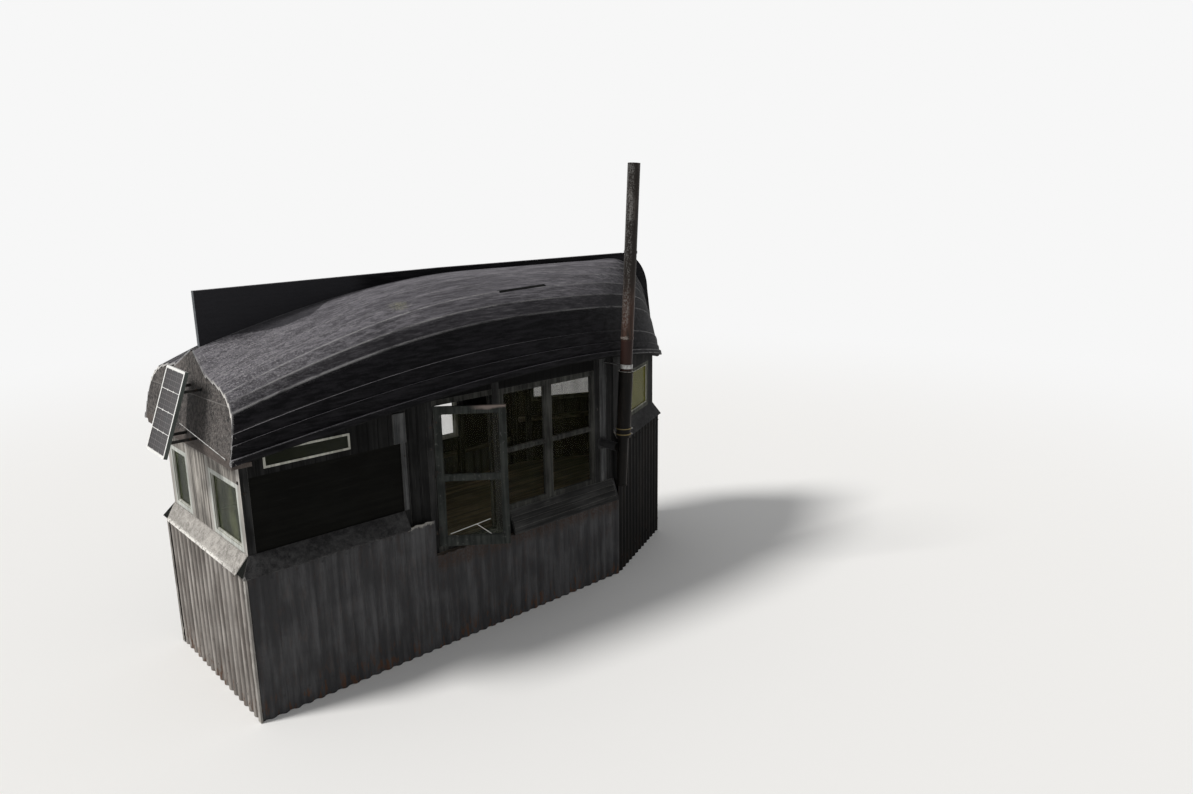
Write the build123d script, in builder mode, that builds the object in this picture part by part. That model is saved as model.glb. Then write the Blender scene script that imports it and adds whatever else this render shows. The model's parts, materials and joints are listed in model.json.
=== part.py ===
from build123d import *
import os
from math import atan2, cos, degrees, pi, radians, sin, sqrt, tan

os.makedirs("parts", exist_ok=True)

# Shed whose roof is an upturned clinker-built boat, in millimetres.
# X runs from the stern wall to the bow, -Y is the front with the door, Z is up from the lowest ground.

# Driving sizes of the plan
WALL_LENGTH = 4860
WALL_WIDTH = 2222
BOW_RUN = 1490
BOW_ANGLE = 25
STERN_X = -3000
UPPER_INSET = 80
SEAT = 0.5

# Driving sizes of the heights
SILL_HEIGHT = 100
FLOOR_TOP = 1100
SKIRT_LOW = 1535
SKIRT_TOP = 1695
BOW_SKIRT_LOW = 1810
BOW_SKIRT_TOP = 1985
SHEET_DROP = 15

# Timber sections
POST = 80
SILL_WIDTH = 100
RAIL_HEIGHT = 60
BOARD = 22
FRAME_DEPTH = 50
DECK = 25
JOIST_HEIGHT = 100
JOIST_WIDTH = 50
JOIST_PITCH = 600
BEAM_HEIGHT = 100
BEAM_WIDTH = 70
PIER = 90
EAVES_PLATE = 30

# Corrugated sheet
PITCH = 127
WAVE_DEPTH = 24
SHEET_GAUGE = 4

# Sloping skirt
SKIRT_BOARD = 22
SKIRT_OUT = 30

# Upturned hull
STERN_OVERHANG = 50
BOW_OVERHANG = 250
SHEER = (2652, 3040, 3352, 2612)
STERN_HALF_BEAM = 1200
MID_HALF_BEAM = 1400
KEEL_HEIGHT = 4055
KEEL_RISE = 545
TUCK = 210
FOREFOOT = 510
STERN_RAKE = 0.2
BOW_RAKE = 0.17
PLANK = 18
LAP = 30
LAP_GAP = 0.8
KEEL_THICKNESS = 60
KEEL_TOP_AFT = 4090
KEEL_TOP_FORE = 4140
SKEG_SETBACK = 245
FOREFOOT_SETBACK = 570
FOREFOOT_DROP = 5
STEM_HEAD = 3600
STEM_HEAD_SETBACK = 90
STEM_FOOT_DROP = 12
STEM_REACH = 68
STEM_HEAD_DEPTH = 135
STEM_FOOT_DEPTH = 133
BREASTHOOK_SETBACK = 80
EAVES_SHORT = 3
TRANSOM = 40
TRANSOM_INSET = 0.7
RUBBING_DEPTH = 40
RUBBING_HEIGHT = 58
RUBBING_DROP = 8
STRAKE_EDGES = (0, 9, 18, 28, 38.5, 49.5, 60, 77, 84, 90)
SWELL_END = 0.95
BOW_TAPER = 6
BOW_FULLNESS = 0.7
KEEL_RUN = 0.5
KEEL_RUN_CURVE = 1.8
FOREFOOT_SPAN = 0.1
FOREFOOT_CURVE = 2.5
TUCK_SPAN = 0.35
TUCK_CURVE = 1.5
TUCK_HOLLOW = 6
MID_SQUARENESS = 2.6
STERN_SQUARENESS = 0.8
BOW_SOFTNESS = 0.5
BOW_FLAT = 8
STERN_FLAT = 12
STATIONS = (0, 0.09, 0.18, 0.28, 0.38, 0.48, 0.57, 0.65, 0.72, 0.79, 0.85, 0.905, 0.95, 0.98, 1)

# Openings along the front wall, measured in X
DOOR_LEFT = -850
DOOR_RIGHT = -60
DOOR_FOOT = 1160
DOOR_HEAD = 2766
DOOR_STOP = 15
LINTEL_HEIGHT = 60
DOOR_SHEET_TOP = 1095
LIGHTS_LEFT = 40
LIGHTS_RIGHT = 1510
LIGHTS_FOOT = 1330
LIGHTS_HEAD = 2810
PANEL_RIGHT = -1250
PANEL_HEAD = 2440
PANEL_RECESS = 12
SLOT_LEFT = -2690
SLOT_RIGHT = -1810
SLOT_DROP = 14
SLOT_HEIGHT = 168
SLOT_FRAME = 22
SLOT_PROUD = 8
CORNER_BOARDS_RIGHT = 1830
CORNER_POST_SETBACK = 150
SILL_BOARD_FOOT = 1040
MULLION_X = 755
LIGHT_STILE = 55
LIGHT_BAR_FOOT = 2045
LIGHT_BAR = 40

# Openings along the stern, rear and bow walls
STERN_INNER_POSTS = (-200, 370)
STERN_HEAD = 2380
WINDOW_FOOT = 1700
TIE_HEIGHT = 43
REAR_POSTS = (-1700, -400, 790)
REAR_HEAD = 2380
FACET_LEFT = 210
FACET_RIGHT = 1385
FACET_FOOT = 2000
FACET_DROP = 92
WINDOW_FRAME = 45
GLASS = 6
GLASS_SEAT = 0.3

# Door leaf
LEAF_THICKNESS = 40
LEAF_GAP = 6
LEAF_STILE = 75
LEAF_MID_RAIL = 60
LEAF_FOOT_RAIL = 110
LEAF_OPEN = 38
LEAF_BAR_FOOT = 1930
HINGE_OUT = 8
PIN_RADIUS = 4
PIN_HEAD = 4
KNUCKLE_RADIUS = 7.5
PIN_CLEARANCE = 0.4
HINGE_HEIGHT = 80
HINGE_PLATE = 2
HINGE_FLAP = 40
HINGE_INSET = 150

# Block under the gunwale
EAVES_BLOCK_XS = (-1330, -1190)
EAVES_BLOCK_ZS = (2450, 2770)
BLOCK_DEPTH = 25

# Flue
FLUE_X = 1650
FLUE_Y = -1410
FLUE_LEAN = 3.5
FLUE_RADIUS = 75
FLUE_WIDE_RADIUS = 89
FLUE_WALL = 3
FLUE_COLLAR = 2830
FLUE_FOOT = 2090
FLUE_LENGTHS = (1150, 1030, 1030)
FLUE_HOLE_RADIUS = 44
SLEEVE_FOOT = 2000
COLLAR_HEIGHT = 14
COLLAR_OUT = 7
BANDS = (2040, 2110)
BAND_HEIGHT = 12
TEE_HEIGHT = 1850
TEE_RADIUS = 66
BRANCH_RADIUS = 55
FLANGE = 6
FLANGE_RADIUS = 85
CAP_HEIGHT = 1380
STRAP_RISE = 60
STRAP_WIDTH = 50
STRAP_THICKNESS = 6

# Solar panel
SOLAR_WIDTH = 520
SOLAR_LENGTH = 830
SOLAR_THICKNESS = 35
SOLAR_Y = -210
SOLAR_TOP_X = -3100
SOLAR_TOP = 3400
SOLAR_TILT = 20
SOLAR_RIM = 22
SOLAR_RECESS = 3
SOLAR_BAR = 25
SOLAR_BAR_OUT = 150
SOLAR_BAR_ZS = (2720, 3180)
JUNCTION = (120, 100, 45)
JUNCTION_DROP = -60
STAY_RADIUS = 4
STAY_KNOB = 9
STAY_TOP = 2950
STAY_FOOT = 2690
STAY_NEAR_Y = -440
STAY_FAR_Y = -1120

HALF_WIDTH = WALL_WIDTH / 2
CORNER_X = STERN_X + WALL_LENGTH
BOW_X = CORNER_X + BOW_RUN
BOW_TAN = tan(radians(BOW_ANGLE))
BOW_COS = cos(radians(BOW_ANGLE))
BOW_SIN = sin(radians(BOW_ANGLE))
FACE = HALF_WIDTH - UPPER_INSET
STERN_FACE = STERN_X + UPPER_INSET
POST_BACK = FACE - POST
WAVE_ZONE = WAVE_DEPTH + SHEET_GAUGE
HULL_AFT = STERN_X - STERN_OVERHANG
HULL_FORE = BOW_X + BOW_OVERHANG
HULL_LENGTH = HULL_FORE - HULL_AFT
SKEG_AFT = HULL_AFT + SKEG_SETBACK
KEEL_HALF = KEEL_THICKNESS / 2
SHEET_TOP = SKIRT_LOW - SHEET_DROP
BOW_SHEET_TOP = BOW_SKIRT_LOW - SHEET_DROP


def keep(piece, name):
    """Label a finished piece and write it to its own file."""
    piece.part.label = name
    export_step(piece.part, f"parts/{name}.step")


def block(xs, ys, zs):
    """Add a straight timber or board that fills the three ranges."""
    middle = ((xs[0] + xs[1]) / 2, (ys[0] + ys[1]) / 2, (zs[0] + zs[1]) / 2)
    with Locations(middle):
        Box(xs[1] - xs[0], ys[1] - ys[0], zs[1] - zs[0])


def cut_block(xs, ys, zs):
    """Cut a straight opening that fills the three ranges."""
    middle = ((xs[0] + xs[1]) / 2, (ys[0] + ys[1]) / 2, (zs[0] + zs[1]) / 2)
    with Locations(middle):
        Box(xs[1] - xs[0], ys[1] - ys[0], zs[1] - zs[0], mode=Mode.SUBTRACT)


def corner(depth):
    """The plan corner between front wall and bow facet, at a depth in from the sheets."""
    return (CORNER_X - depth * tan(radians(BOW_ANGLE / 2)), -(HALF_WIDTH - depth))


def nose(depth):
    """The plan corner between bow facet and bow end, at a depth in from the sheets."""
    y = -HALF_WIDTH + (BOW_RUN - depth) * BOW_TAN + depth / BOW_COS
    return (BOW_X - depth, y)


def facet_plane(depth):
    """Local X along the facet from the corner, local Y up, local Z outwards."""
    start = corner(depth)
    return Plane(origin=(start[0], start[1], 0), x_dir=(BOW_COS, BOW_SIN, 0), z_dir=(BOW_SIN, -BOW_COS, 0))


def facet_length(depth):
    return (nose(depth)[0] - corner(depth)[0]) / BOW_COS


def bezier(controls, u):
    a, b, c, d = controls
    v = 1 - u
    return a * v**3 + 3 * b * v**2 * u + 3 * c * v * u**2 + d * u**3


def sheer_at(x):
    """Height of the gunwale line above the ground at a place along the shed."""
    return bezier(SHEER, (x - HULL_AFT) / HULL_LENGTH)


def eaves_foot(x):
    """Underside of the eaves plate."""
    return sheer_at(x) - EAVES_PLATE - SEAT


def top_under_eaves(low, high):
    """Height of a straight-topped timber that just fits under the eaves plate."""
    return min(eaves_foot(low), eaves_foot(high)) - SEAT


def half_beam(u):
    swell = (MID_HALF_BEAM - STERN_HALF_BEAM) * sin(pi * min(u / SWELL_END, 1))
    bow = max(1 - u**BOW_TAPER, 0) ** BOW_FULLNESS
    return KEEL_HALF + SEAT + (STERN_HALF_BEAM - KEEL_HALF + swell) * bow


def keel_line(u):
    run = KEEL_RISE * max(1 - u / KEEL_RUN, 0) ** KEEL_RUN_CURVE
    drop = FOREFOOT * max((u - 1) / FOREFOOT_SPAN + 1, 0) ** FOREFOOT_CURVE
    return KEEL_HEIGHT - run - drop


def lean(u):
    return STERN_RAKE * (1 - u) ** 2 - BOW_RAKE * u**3


def station_x(u):
    return HULL_AFT + HULL_LENGTH * u


def station_plane(u):
    """Plane of one hull section: local X is half breadth, local Y is up the leaning section."""
    slope = lean(u)
    foot = station_x(u) - slope * bezier(SHEER, u)
    return Plane(origin=(foot, 0, 0), x_dir=(0, 1, 0), z_dir=(1, 0, -slope))


def hull_edge(u, angle):
    """Inner plank edge in a section, at an angle from the keel (0) to the gunwale (90)."""
    low = bezier(SHEER, u)
    tuck = TUCK * max(1 - u / TUCK_SPAN, 0) ** TUCK_CURVE
    top = keel_line(u) - tuck
    power = 2 / (MID_SQUARENESS + STERN_SQUARENESS * (1 - u) ** 3 - BOW_SOFTNESS * u**3)
    even = u**BOW_FLAT
    across = (1 - even) * sin(radians(angle)) ** power + even * angle / 90
    above = (1 - even) * abs(cos(radians(angle))) ** power + even * (1 - angle / 90)
    first = KEEL_HALF + SEAT
    y = first + (half_beam(u) - first) * across
    z = low + (top - low) * above + tuck * (1 - across) ** TUCK_HOLLOW
    return Vector(y, z * sqrt(1 + lean(u) ** 2))


def along(start, end):
    return (end - start).normalized()


def outward(direction):
    return Vector(-direction.Y, direction.X)


def strake_points(u, number):
    """Section of one plank: its keel-side edge lies on the plank before, its other edge under the next."""
    edge = hull_edge(u, STRAKE_EDGES[number])
    far = hull_edge(u, STRAKE_EDGES[number + 1])
    run = along(edge, far)
    out = outward(run)
    lift = PLANK + LAP_GAP if number else 0
    points = [edge + out * lift, edge + out * (lift + PLANK)]
    if number + 2 < len(STRAKE_EDGES):
        past = hull_edge(u, STRAKE_EDGES[number + 2])
        next_run = along(far, past)
        next_out = outward(next_run)
        width = (past - far).length
        thin = (PLANK + LAP_GAP) * (1 - LAP / width) - LAP_GAP
        tucked = (thin - PLANK) * (1 - u**BOW_FLAT) * (1 - (1 - u) ** STERN_FLAT)
        points.append(far + next_out * PLANK)
        points.append(far + next_run * LAP + next_out * thin)
        points.append(far + next_run * LAP + next_out * tucked)
        points.append(far)
    else:
        points.append(far + out * PLANK)
        points.append(far)
    return [(point.X, point.Y) for point in points]


def planked(points_at):
    """Skin a section along the stations, straight across each face."""
    rows = []
    for u in STATIONS:
        plane = station_plane(u)
        rows.append([plane.from_local_coords(Vector(*point)) for point in points_at(u)])
    edges = [Edge.make_spline(list(line)) for line in zip(*rows)]
    faces = [Face.make_surface_from_curves(edge, edges[i - 1]) for i, edge in enumerate(edges)]
    faces += [Face(Wire.make_polygon(row)) for row in (rows[0], rows[-1])]
    add(Solid(Shell(faces)))


# Clinker strakes, from the keel down to the gunwale
for group, numbers in (
    ("garboard_strakes", (0,)),
    ("bottom_strakes", (1, 2, 3)),
    ("bilge_strakes", (4, 5, 6)),
    ("topside_strakes", (7,)),
    ("sheer_strakes", (8,)),
):
    with BuildPart() as strakes:
        for number in numbers:
            planked(lambda u: strake_points(u, number))
        mirror(about=Plane.XZ)
    keep(strakes, group)


def rubbing_points(u):
    """Rubbing strake along the gunwale, outside the lowest plank."""
    edge = hull_edge(u, STRAKE_EDGES[-2])
    far = hull_edge(u, STRAKE_EDGES[-1])
    run = along(edge, far)
    out = outward(run)
    slope = (PLANK + LAP_GAP) / (far - edge).length
    high = far - run * (RUBBING_HEIGHT - RUBBING_DROP)
    inner_high = high + out * (PLANK + SEAT + slope * (RUBBING_HEIGHT - RUBBING_DROP))
    inner_low = far + run * RUBBING_DROP + out * (PLANK + SEAT)
    outer_high = high + out * (PLANK + SEAT + RUBBING_DEPTH)
    outer_low = far + run * RUBBING_DROP + out * (PLANK + SEAT + RUBBING_DEPTH)
    return [(p.X, p.Y) for p in (inner_high, inner_low, outer_low, outer_high)]


with BuildPart() as gunwales:
    planked(rubbing_points)
    mirror(about=Plane.XZ)
keep(gunwales, "gunwales")

# Transom board inside the ends of the planks
transom_edges = [hull_edge(0, angle) for angle in STRAKE_EDGES]
transom_right = [(p.X - TRANSOM_INSET, p.Y - TRANSOM_INSET) for p in transom_edges]
transom_left = [(-x, y) for x, y in reversed(transom_right)]
with BuildPart() as transom:
    with BuildSketch(station_plane(0)):
        with BuildLine():
            Polyline(*transom_right, *transom_left, close=True)
        make_face()
    extrude(amount=TRANSOM)
keep(transom, "transom")


def keel_point(u, depth):
    """A point on the centre line of the hull, a depth inside the keel line."""
    z = keel_line(u) - depth
    return (station_x(u) + lean(u) * (z - bezier(SHEER, u)), z)


# Keel with the skeg at the stern, the forefoot at the bow and the stem under it
KEEL_INSIDE = 40
KEEL_CROWN = 40
FOREFOOT_FALL = 0.15
KEEL_INNER_STATIONS = (0.08, 0.2, 0.38, 0.65, 0.85, 0.92, 0.965)
FOREFOOT_START = (HULL_FORE - FOREFOOT_SETBACK, KEEL_TOP_FORE - FOREFOOT_DROP)
STEM_TOP = (HULL_FORE - STEM_HEAD_SETBACK, STEM_HEAD)
STEM_FOOT = (HULL_FORE + STEM_REACH, SHEER[-1] - STEM_FOOT_DROP)
STEM_INNER_TOP = (STEM_TOP[0] - STEM_HEAD_DEPTH, STEM_TOP[1])
STEM_INNER_FOOT = (STEM_FOOT[0] - STEM_FOOT_DEPTH, STEM_FOOT[1])
inner_keel = [keel_point(u, KEEL_INSIDE) for u in KEEL_INNER_STATIONS]
skeg_foot = (SKEG_AFT, keel_point((SKEG_AFT - HULL_AFT) / HULL_LENGTH, KEEL_INSIDE)[1])
with BuildPart() as keel_and_stem:
    with BuildSketch(Plane.XZ):
        with BuildLine():
            Polyline(skeg_foot, (SKEG_AFT, KEEL_TOP_AFT), (0, KEEL_TOP_AFT + KEEL_CROWN), FOREFOOT_START)
            TangentArc(FOREFOOT_START, STEM_TOP, tangent=(1, -FOREFOOT_FALL))
            Line(STEM_TOP, STEM_INNER_TOP)
            Spline(STEM_INNER_TOP, *reversed(inner_keel), skeg_foot)
        make_face()
    extrude(amount=KEEL_HALF, both=True)
    with BuildSketch(Plane.XZ):
        with BuildLine():
            Polyline(STEM_TOP, STEM_FOOT, STEM_INNER_FOOT, STEM_INNER_TOP, close=True)
        make_face()
    extrude(amount=KEEL_HALF, both=True)
keep(keel_and_stem, "keel_and_stem")

# Peg that sticks out square to the stem near its foot
PEG_RISE = 80
PEG_RADIUS = 12
PEG_LENGTH = 100
stem_foot = Vector(STEM_FOOT[0], 0, STEM_FOOT[1])
stem_run = (Vector(STEM_TOP[0], 0, STEM_TOP[1]) - stem_foot).normalized()
peg_root = Plane(origin=stem_foot + stem_run * PEG_RISE, x_dir=(0, 1, 0), z_dir=(stem_run.Z, 0, -stem_run.X))
with BuildPart() as bow_peg:
    with BuildSketch(peg_root.offset(SEAT)):
        Circle(PEG_RADIUS)
    extrude(amount=PEG_LENGTH)
keep(bow_peg, "bow_peg")


# Eaves plates and the breasthook that joins them, cut to the gunwale in plan and to the sheer in side view
def sheer_curve(drop):
    step = HULL_LENGTH / 3
    points = [(HULL_AFT + i * step, height - drop) for i, height in enumerate(SHEER)]
    return points


def cut_to_sheer():
    top = sheer_curve(SEAT)
    foot = sheer_curve(SEAT + EAVES_PLATE)
    with BuildSketch(Plane.XZ) as band:
        with BuildLine():
            Bezier(*top)
            Line(top[-1], foot[-1])
            Bezier(*reversed(foot))
            Line(foot[0], top[0])
        make_face()
    extrude(band.sketch, amount=2 * MID_HALF_BEAM, both=True, mode=Mode.INTERSECT)


EAVES_OUT = PLANK - EAVES_SHORT
EAVES_LAP = 20
BLANK_FOOT = min(SHEER) - EAVES_PLATE - EAVES_LAP
BLANK_HEIGHT = max(SHEER) - BLANK_FOOT
BREASTHOOK_END = HULL_FORE - BREASTHOOK_SETBACK
EAVES_EDGES = (0.03, 0.14, 0.28, 0.42, 0.55, 0.66, 0.76, 0.84, 0.9, 0.935)
eaves_inner = UPPER_INSET + POST + EAVES_LAP
outer_edge = [(station_x(u), -(half_beam(u) + EAVES_OUT)) for u in EAVES_EDGES]
inner_corner = corner(eaves_inner)
hook_half = half_beam((BREASTHOOK_END - HULL_AFT) / HULL_LENGTH) + EAVES_OUT
inner_end = (outer_edge[-1][0], -HALF_WIDTH + (outer_edge[-1][0] - CORNER_X) * BOW_TAN + eaves_inner / BOW_COS)
with BuildPart() as eaves_plates:
    with BuildSketch(Plane.XY.offset(BLANK_FOOT)):
        with BuildLine():
            Spline(*outer_edge)
            Polyline(
                outer_edge[-1],
                inner_end,
                inner_corner,
                (outer_edge[0][0], inner_corner[1]),
                outer_edge[0],
            )
        make_face()
        mirror(about=Plane.XZ)
    with BuildSketch(Plane.XY.offset(BLANK_FOOT)):
        with BuildLine():
            Polyline(
                inner_end,
                outer_edge[-1],
                (BREASTHOOK_END, -hook_half),
                (BREASTHOOK_END, hook_half),
                (outer_edge[-1][0], -outer_edge[-1][1]),
                (inner_end[0], -inner_end[1]),
                close=True,
            )
        make_face()
    extrude(amount=BLANK_HEIGHT)
    cut_to_sheer()
keep(eaves_plates, "eaves_plates")

# Tie beam under the transom
TIE_SETBACK = 15
tie_high = outer_edge[0][0] - 1
tie_top = bezier(SHEER, 0) - TRANSOM_INSET - TRANSOM * STERN_RAKE - SEAT
tie_foot = tie_top - TIE_HEIGHT
with BuildPart() as stern_tie:
    block((HULL_AFT + TIE_SETBACK, tie_high), (-STERN_HALF_BEAM, STERN_HALF_BEAM), (tie_foot, tie_top))
keep(stern_tie, "stern_tie")

# Ground sills, level on the lowest ground
SILL_BACK = FACE - SILL_WIDTH
sill_nose = nose(UPPER_INSET)
sill_nose_back = nose(UPPER_INSET + SILL_WIDTH)
sill_corner = corner(UPPER_INSET)
sill_corner_back = corner(UPPER_INSET + SILL_WIDTH)
sill_outer = [(STERN_FACE, -FACE), sill_corner, sill_nose]
sill_inner = [(STERN_FACE + SILL_WIDTH, -SILL_BACK), sill_corner_back, sill_nose_back]


def plan_ring(points):
    """A closed plan outline from its front half."""
    return points + [(x, -y) for x, y in reversed(points)]


def saw_cut(start, end):
    """Part two timbers of a plan sketch along the line of their mitre."""
    run = Vector(*end) - Vector(*start)
    middle = (Vector(*end) + Vector(*start)) * 0.5
    with Locations((middle.X, middle.Y)):
        Rectangle(2 * run.length, SEAT, rotation=degrees(atan2(run.Y, run.X)), mode=Mode.SUBTRACT)


bearer_run = (STERN_FACE + SILL_WIDTH + SEAT, sill_nose_back[0] - SEAT)
with BuildPart() as ground_sills:
    with BuildSketch(Plane.XY):
        with BuildLine():
            Polyline(*plan_ring(sill_outer), close=True)
        make_face()
        with BuildLine():
            Polyline(*plan_ring(sill_inner), close=True)
        make_face(mode=Mode.SUBTRACT)
        for turn_out, turn_in in zip(plan_ring(sill_outer), plan_ring(sill_inner)):
            saw_cut(turn_out, turn_in)
    extrude(amount=SILL_HEIGHT)
    block(bearer_run, (-SILL_WIDTH / 2, SILL_WIDTH / 2), (0, SILL_HEIGHT))
keep(ground_sills, "ground_sills")

# Floor frame of piers, beams and joists, and the deck on it
JOIST_FOOT = FLOOR_TOP - DECK - JOIST_HEIGHT
BEAM_FOOT = JOIST_FOOT - BEAM_HEIGHT
BEAM_SIDE = POST_BACK - SEAT
DECK_IN = UPPER_INSET + POST + SEAT
FIRST_JOIST = -2400
JOISTS = 10
PIERED_JOISTS = (1, 4, 7, 8, 9)


def inner_half(x):
    """Half width inside the wall posts."""
    bow = HALF_WIDTH - (x - CORNER_X) * BOW_TAN - DECK_IN / BOW_COS
    return min(HALF_WIDTH - DECK_IN, bow)


with BuildPart() as floor_frame:
    beam_run = (STERN_FACE + POST, sill_corner[0] - POST)
    block(beam_run, (-BEAM_SIDE, BEAM_WIDTH - BEAM_SIDE), (BEAM_FOOT, JOIST_FOOT))
    mirror(about=Plane.XZ)
    for i in range(JOISTS):
        x = FIRST_JOIST + i * JOIST_PITCH
        half = inner_half(x + JOIST_WIDTH)
        block((x - JOIST_WIDTH / 2, x + JOIST_WIDTH / 2), (-half, half), (JOIST_FOOT + SEAT, FLOOR_TOP - DECK))
        if i in PIERED_JOISTS:
            block((x - PIER / 2, x + PIER / 2), (-PIER / 2, PIER / 2), (SILL_HEIGHT, JOIST_FOOT))
keep(floor_frame, "floor_frame")

deck_stern = (STERN_FACE + POST + SEAT, corner(DECK_IN)[1])
with BuildPart() as floor_deck:
    with BuildSketch(Plane.XY.offset(FLOOR_TOP - DECK)):
        with BuildLine():
            Polyline(*plan_ring([deck_stern, corner(DECK_IN), nose(DECK_IN)]), close=True)
        make_face()
    extrude(amount=DECK)
keep(floor_deck, "floor_deck")


# Wall posts between the sills and the eaves plate
FRONT_YS = (-FACE, -POST_BACK)
REAR_YS = (POST_BACK, FACE)
CORNER_POST = CORNER_X - CORNER_POST_SETBACK


def post(x, width, ys):
    top = tie_foot - SEAT if x < tie_high else top_under_eaves(x, x + width)
    block((x, x + width), ys, (SILL_HEIGHT, top))


facet = facet_plane(UPPER_INSET)
facet_run = facet_length(UPPER_INSET)


def facet_block(run, up, out, mode=Mode.ADD):
    """Add or cut a straight piece in the plane of the bow facet."""
    middle = ((run[0] + run[1]) / 2, (up[0] + up[1]) / 2, (out[0] + out[1]) / 2)
    with Locations(facet.location):
        with Locations(middle):
            Box(run[1] - run[0], up[1] - up[0], out[1] - out[0], mode=mode)


def facet_x(place):
    return corner(UPPER_INSET)[0] + place * BOW_COS


FACET_HEAD = round(eaves_foot(facet_x(FACET_RIGHT)) - FACET_DROP)
FACET_POSTS = (FACET_LEFT - POST, FACET_RIGHT)
FACET_OUT = (-POST, -BOARD - SEAT)
BOW_POST = 260
bow_face = BOW_X - UPPER_INSET
with BuildPart() as wall_posts:
    for start in FACET_POSTS:
        post_top = top_under_eaves(facet_x(start), facet_x(start + POST))
        facet_block((start, start + POST), (SILL_HEIGHT, post_top), FACET_OUT)
    bow_post_top = top_under_eaves(bow_face - POST, bow_face)
    block((bow_face - POST, bow_face - BOARD - SEAT), (-BOW_POST - POST, -BOW_POST), (SILL_HEIGHT, bow_post_top))
    mirror(about=Plane.XZ)
    for start in (STERN_FACE, PANEL_RIGHT, DOOR_LEFT - POST, LIGHTS_RIGHT, CORNER_POST):
        post(start, POST, FRONT_YS)
    post(DOOR_RIGHT, LIGHTS_LEFT - DOOR_RIGHT, FRONT_YS)
    for start in (STERN_FACE, *REAR_POSTS, CORNER_POST):
        post(start, POST, REAR_YS)
    for y in STERN_INNER_POSTS:
        block((STERN_FACE, STERN_FACE + POST), (y, y + POST), (SILL_HEIGHT, tie_foot - SEAT))
keep(wall_posts, "wall_posts")


# Corrugated sheets
def sheet_face(run):
    """Plan section of a corrugated sheet along local X, its outer crests at local Y 0."""
    waves = round(run / PITCH)
    quarter = run / waves / 4
    mid = -WAVE_DEPTH / 2
    with BuildSketch() as section:
        with BuildLine():
            for shift in (0, -SHEET_GAUGE):
                for i in range(waves):
                    x = 4 * quarter * i
                    ThreePointArc((x, mid + shift), (x + quarter, shift), (x + 2 * quarter, mid + shift))
                    ThreePointArc(
                        (x + 2 * quarter, mid + shift),
                        (x + 3 * quarter, -WAVE_DEPTH + shift),
                        (x + 4 * quarter, mid + shift),
                    )
            Line((0, mid), (0, mid - SHEET_GAUGE))
            Line((run, mid), (run, mid - SHEET_GAUGE))
        make_face()
    return section.sketch


def sheet(plane, run, high):
    """Add a corrugated sheet: plane at its foot, local X along the wall, local Y outwards."""
    with BuildSketch(plane) as section:
        add(sheet_face(run))
    extrude(section.sketch, amount=high)


def wall_foot(x, y, along_x, along_y):
    return Plane(origin=(x, y, 0), x_dir=(along_x, along_y, 0), z_dir=(0, 0, 1))


sheet_start = STERN_X + WAVE_ZONE + SEAT
FRONT_SHEETS = (
    (sheet_start, DOOR_LEFT - POST, SHEET_TOP),
    (DOOR_LEFT - POST + SEAT, DOOR_RIGHT, DOOR_SHEET_TOP),
    (DOOR_RIGHT + SEAT, CORNER_X, SILL_BOARD_FOOT),
)
with BuildPart() as front_sheets:
    for start, end, top in FRONT_SHEETS:
        sheet(wall_foot(end, -HALF_WIDTH, -1, 0), end - start, top)
keep(front_sheets, "front_sheets")

with BuildPart() as rear_sheet:
    sheet(wall_foot(sheet_start, HALF_WIDTH, 1, 0), CORNER_X - sheet_start, SHEET_TOP)
keep(rear_sheet, "rear_sheet")

with BuildPart() as stern_sheet:
    sheet(wall_foot(STERN_X, -HALF_WIDTH, 0, 1), WALL_WIDTH, SHEET_TOP)
keep(stern_sheet, "stern_sheet")

SHEET_END_GAP = 12
bow_sheet_half = -nose(0)[1] - 2 * SHEET_END_GAP
with BuildPart() as bow_sheets:
    sheet(wall_foot(*nose(0), -BOW_COS, -BOW_SIN), facet_length(0) - SHEET_END_GAP, BOW_SHEET_TOP)
    mirror(about=Plane.XZ)
    sheet(wall_foot(BOW_X, bow_sheet_half, 0, -1), 2 * bow_sheet_half, BOW_SHEET_TOP)
keep(bow_sheets, "bow_sheets")

# Rails that carry the sheets, packed out from the posts
RAIL_OUT = HALF_WIDTH - WAVE_ZONE - SEAT
RAIL_PACK = RAIL_OUT - FACE
RAIL_DROP = 40
rail_end = CORNER_X - RAIL_DROP
bow_rail_half = -nose(UPPER_INSET)[1] - RAIL_DROP


def rail_row(top):
    return (top - RAIL_HEIGHT, top)


LOW_ROW = rail_row(SILL_HEIGHT + 2 * RAIL_HEIGHT)
HIGH_ROW = rail_row(SHEET_TOP - RAIL_DROP)
BOW_ROW = rail_row(BOW_SHEET_TOP - RAIL_DROP)
with BuildPart() as sheet_rails:
    block((STERN_FACE + SEAT, rail_end), (-RAIL_OUT, -FACE), LOW_ROW)
    for row in (LOW_ROW, BOW_ROW):
        facet_block((RAIL_DROP, facet_run - RAIL_DROP), row, (-BOARD - SEAT, RAIL_PACK))
    mirror(about=Plane.XZ)
    for row in (LOW_ROW, BOW_ROW):
        block((bow_face - BOARD - SEAT, bow_face + RAIL_PACK), (-bow_rail_half, bow_rail_half), row)
    for row in (LOW_ROW, HIGH_ROW):
        block((sheet_start, STERN_FACE), (-FACE, FACE), row)
    block((STERN_FACE + SEAT, rail_end), (FACE, RAIL_OUT), HIGH_ROW)
    block((STERN_FACE + SEAT, DOOR_LEFT - POST), (-RAIL_OUT, -FACE), HIGH_ROW)
    block((DOOR_LEFT - POST, DOOR_RIGHT), (-RAIL_OUT, -FACE), rail_row(DOOR_SHEET_TOP))
    block((DOOR_RIGHT + SEAT, rail_end), (-RAIL_OUT, -FACE), rail_row(SILL_BOARD_FOOT))
keep(sheet_rails, "sheet_rails")


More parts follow.
